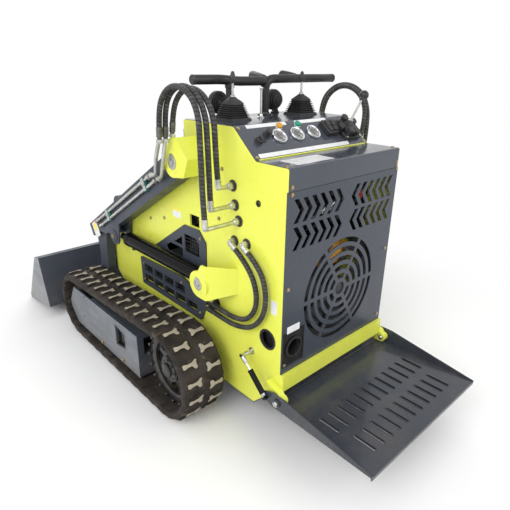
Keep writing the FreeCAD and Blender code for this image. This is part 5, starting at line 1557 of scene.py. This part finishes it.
class LoaderPanelTrim(bpy.types.Operator):
    """Bolts, exhaust outlet, grommets, toe plate and blank labels"""

    bl_idname = "loader.panel_trim"
    bl_label = "Panel trim"

    def execute(self, context):
        add_panel_trim()
        return {"FINISHED"}


class LoaderEngineBay(bpy.types.Operator):
    """Fan, air cleaner, fluid tank and filters behind the grilles"""

    bl_idname = "loader.engine_bay"
    bl_label = "Engine bay"

    def execute(self, context):
        add_engine_bay()
        return {"FINISHED"}


class LoaderPins(bpy.types.Operator):
    """Headed pins of the arms and lift cylinders"""

    bl_idname = "loader.pins"
    bl_label = "Pins"

    def execute(self, context):
        add_pins()
        return {"FINISHED"}


class LoaderCylinders(bpy.types.Operator):
    """Collars, glands and ports of the cylinders and the strut"""

    bl_idname = "loader.cylinders"
    bl_label = "Cylinder trim"

    def execute(self, context):
        add_cylinders()
        return {"FINISHED"}


class LoaderArms(bpy.types.Operator):
    """Hard pipes, clamps, labels, weld beads and pin caps of the lift arms"""

    bl_idname = "loader.arms"
    bl_label = "Lift arm trim"

    def execute(self, context):
        add_arm_pipes()
        add_arm_trim()
        return {"FINISHED"}


class LoaderConsole(bpy.types.Operator):
    """Gauges, switches and buttons of the console"""

    bl_idname = "loader.console"
    bl_label = "Console"

    def execute(self, context):
        add_console()
        return {"FINISHED"}


class LoaderValve(bpy.types.Operator):
    """Spool valve with its lever at the console's right end"""

    bl_idname = "loader.valve"
    bl_label = "Valve and lever"

    def execute(self, context):
        add_valve()
        return {"FINISHED"}


class LoaderLevers(bpy.types.Operator):
    """Bellows boots with the drive levers"""

    bl_idname = "loader.levers"
    bl_label = "Boots and levers"

    def execute(self, context):
        add_levers()
        return {"FINISHED"}


class LoaderRail(bpy.types.Operator):
    """Foam-covered grab frame on the deck"""

    bl_idname = "loader.rail"
    bl_label = "Grab frame"

    def execute(self, context):
        add_rail()
        return {"FINISHED"}


class LoaderLamps(bpy.types.Operator):
    """Round work lamps at the deck's front edge"""

    bl_idname = "loader.lamps"
    bl_label = "Work lamps"

    def execute(self, context):
        add_lamps()
        return {"FINISHED"}


class LoaderBucket(bpy.types.Operator):
    """Bolts and wear bars of the bucket"""

    bl_idname = "loader.bucket"
    bl_label = "Bucket trim"

    def execute(self, context):
        add_bucket_trim()
        return {"FINISHED"}


class LoaderPlatform(bpy.types.Operator):
    """Slot rims, hinge nuts and bolt heads of the folding platform"""

    bl_idname = "loader.platform"
    bl_label = "Platform trim"

    def execute(self, context):
        add_platform_trim()
        return {"FINISHED"}


class LoaderStage(bpy.types.Operator):
    """Floor, world light and soft lamps"""

    bl_idname = "loader.stage"
    bl_label = "Stage"

    def execute(self, context):
        add_lights()
        return {"FINISHED"}


OPERATORS = (
    LoaderCamera, LoaderUpperHoses, LoaderLowerHoses, LoaderFittings, LoaderNodes, LoaderTracks,
    LoaderUndercarriage, LoaderCovers, LoaderPanelTrim, LoaderEngineBay, LoaderPins,
    LoaderCylinders, LoaderArms, LoaderConsole, LoaderValve, LoaderLevers, LoaderRail,
    LoaderLamps, LoaderBucket, LoaderPlatform, LoaderStage,
)


class LoaderPanel(bpy.types.Panel):
    """Colours, sizes and pieces of the loader."""

    bl_idname = "VIEW3D_PT_loader"
    bl_label = "Mini track loader"
    bl_space_type = "VIEW_3D"
    bl_region_type = "UI"
    bl_category = "Loader"

    def draw(self, context):
        column = self.layout.column()
        for group in (context.scene.loader_paint, context.scene.loader_sizes):
            for key in group.__annotations__:
                column.prop(group, key)
        for operator in OPERATORS:
            column.operator(operator.bl_idname)


CLASSES = (LoaderPaint, LoaderSizes, *OPERATORS, LoaderPanel)


def register():
    """Register the classes and hang the settings on the scene."""
    for item in CLASSES:
        bpy.utils.register_class(item)
    bpy.types.Scene.loader_paint = PointerProperty(type=LoaderPaint)
    bpy.types.Scene.loader_sizes = PointerProperty(type=LoaderSizes)


def unregister():
    """Take the settings and classes away again."""
    del bpy.types.Scene.loader_paint
    del bpy.types.Scene.loader_sizes
    for item in reversed(CLASSES):
        bpy.utils.unregister_class(item)


def main():
    """Build every piece in order."""
    register()
    for operator in OPERATORS:
        area, name = operator.bl_idname.split(".")
        getattr(getattr(bpy.ops, area), name)()


if __name__ == "__main__":
    main()
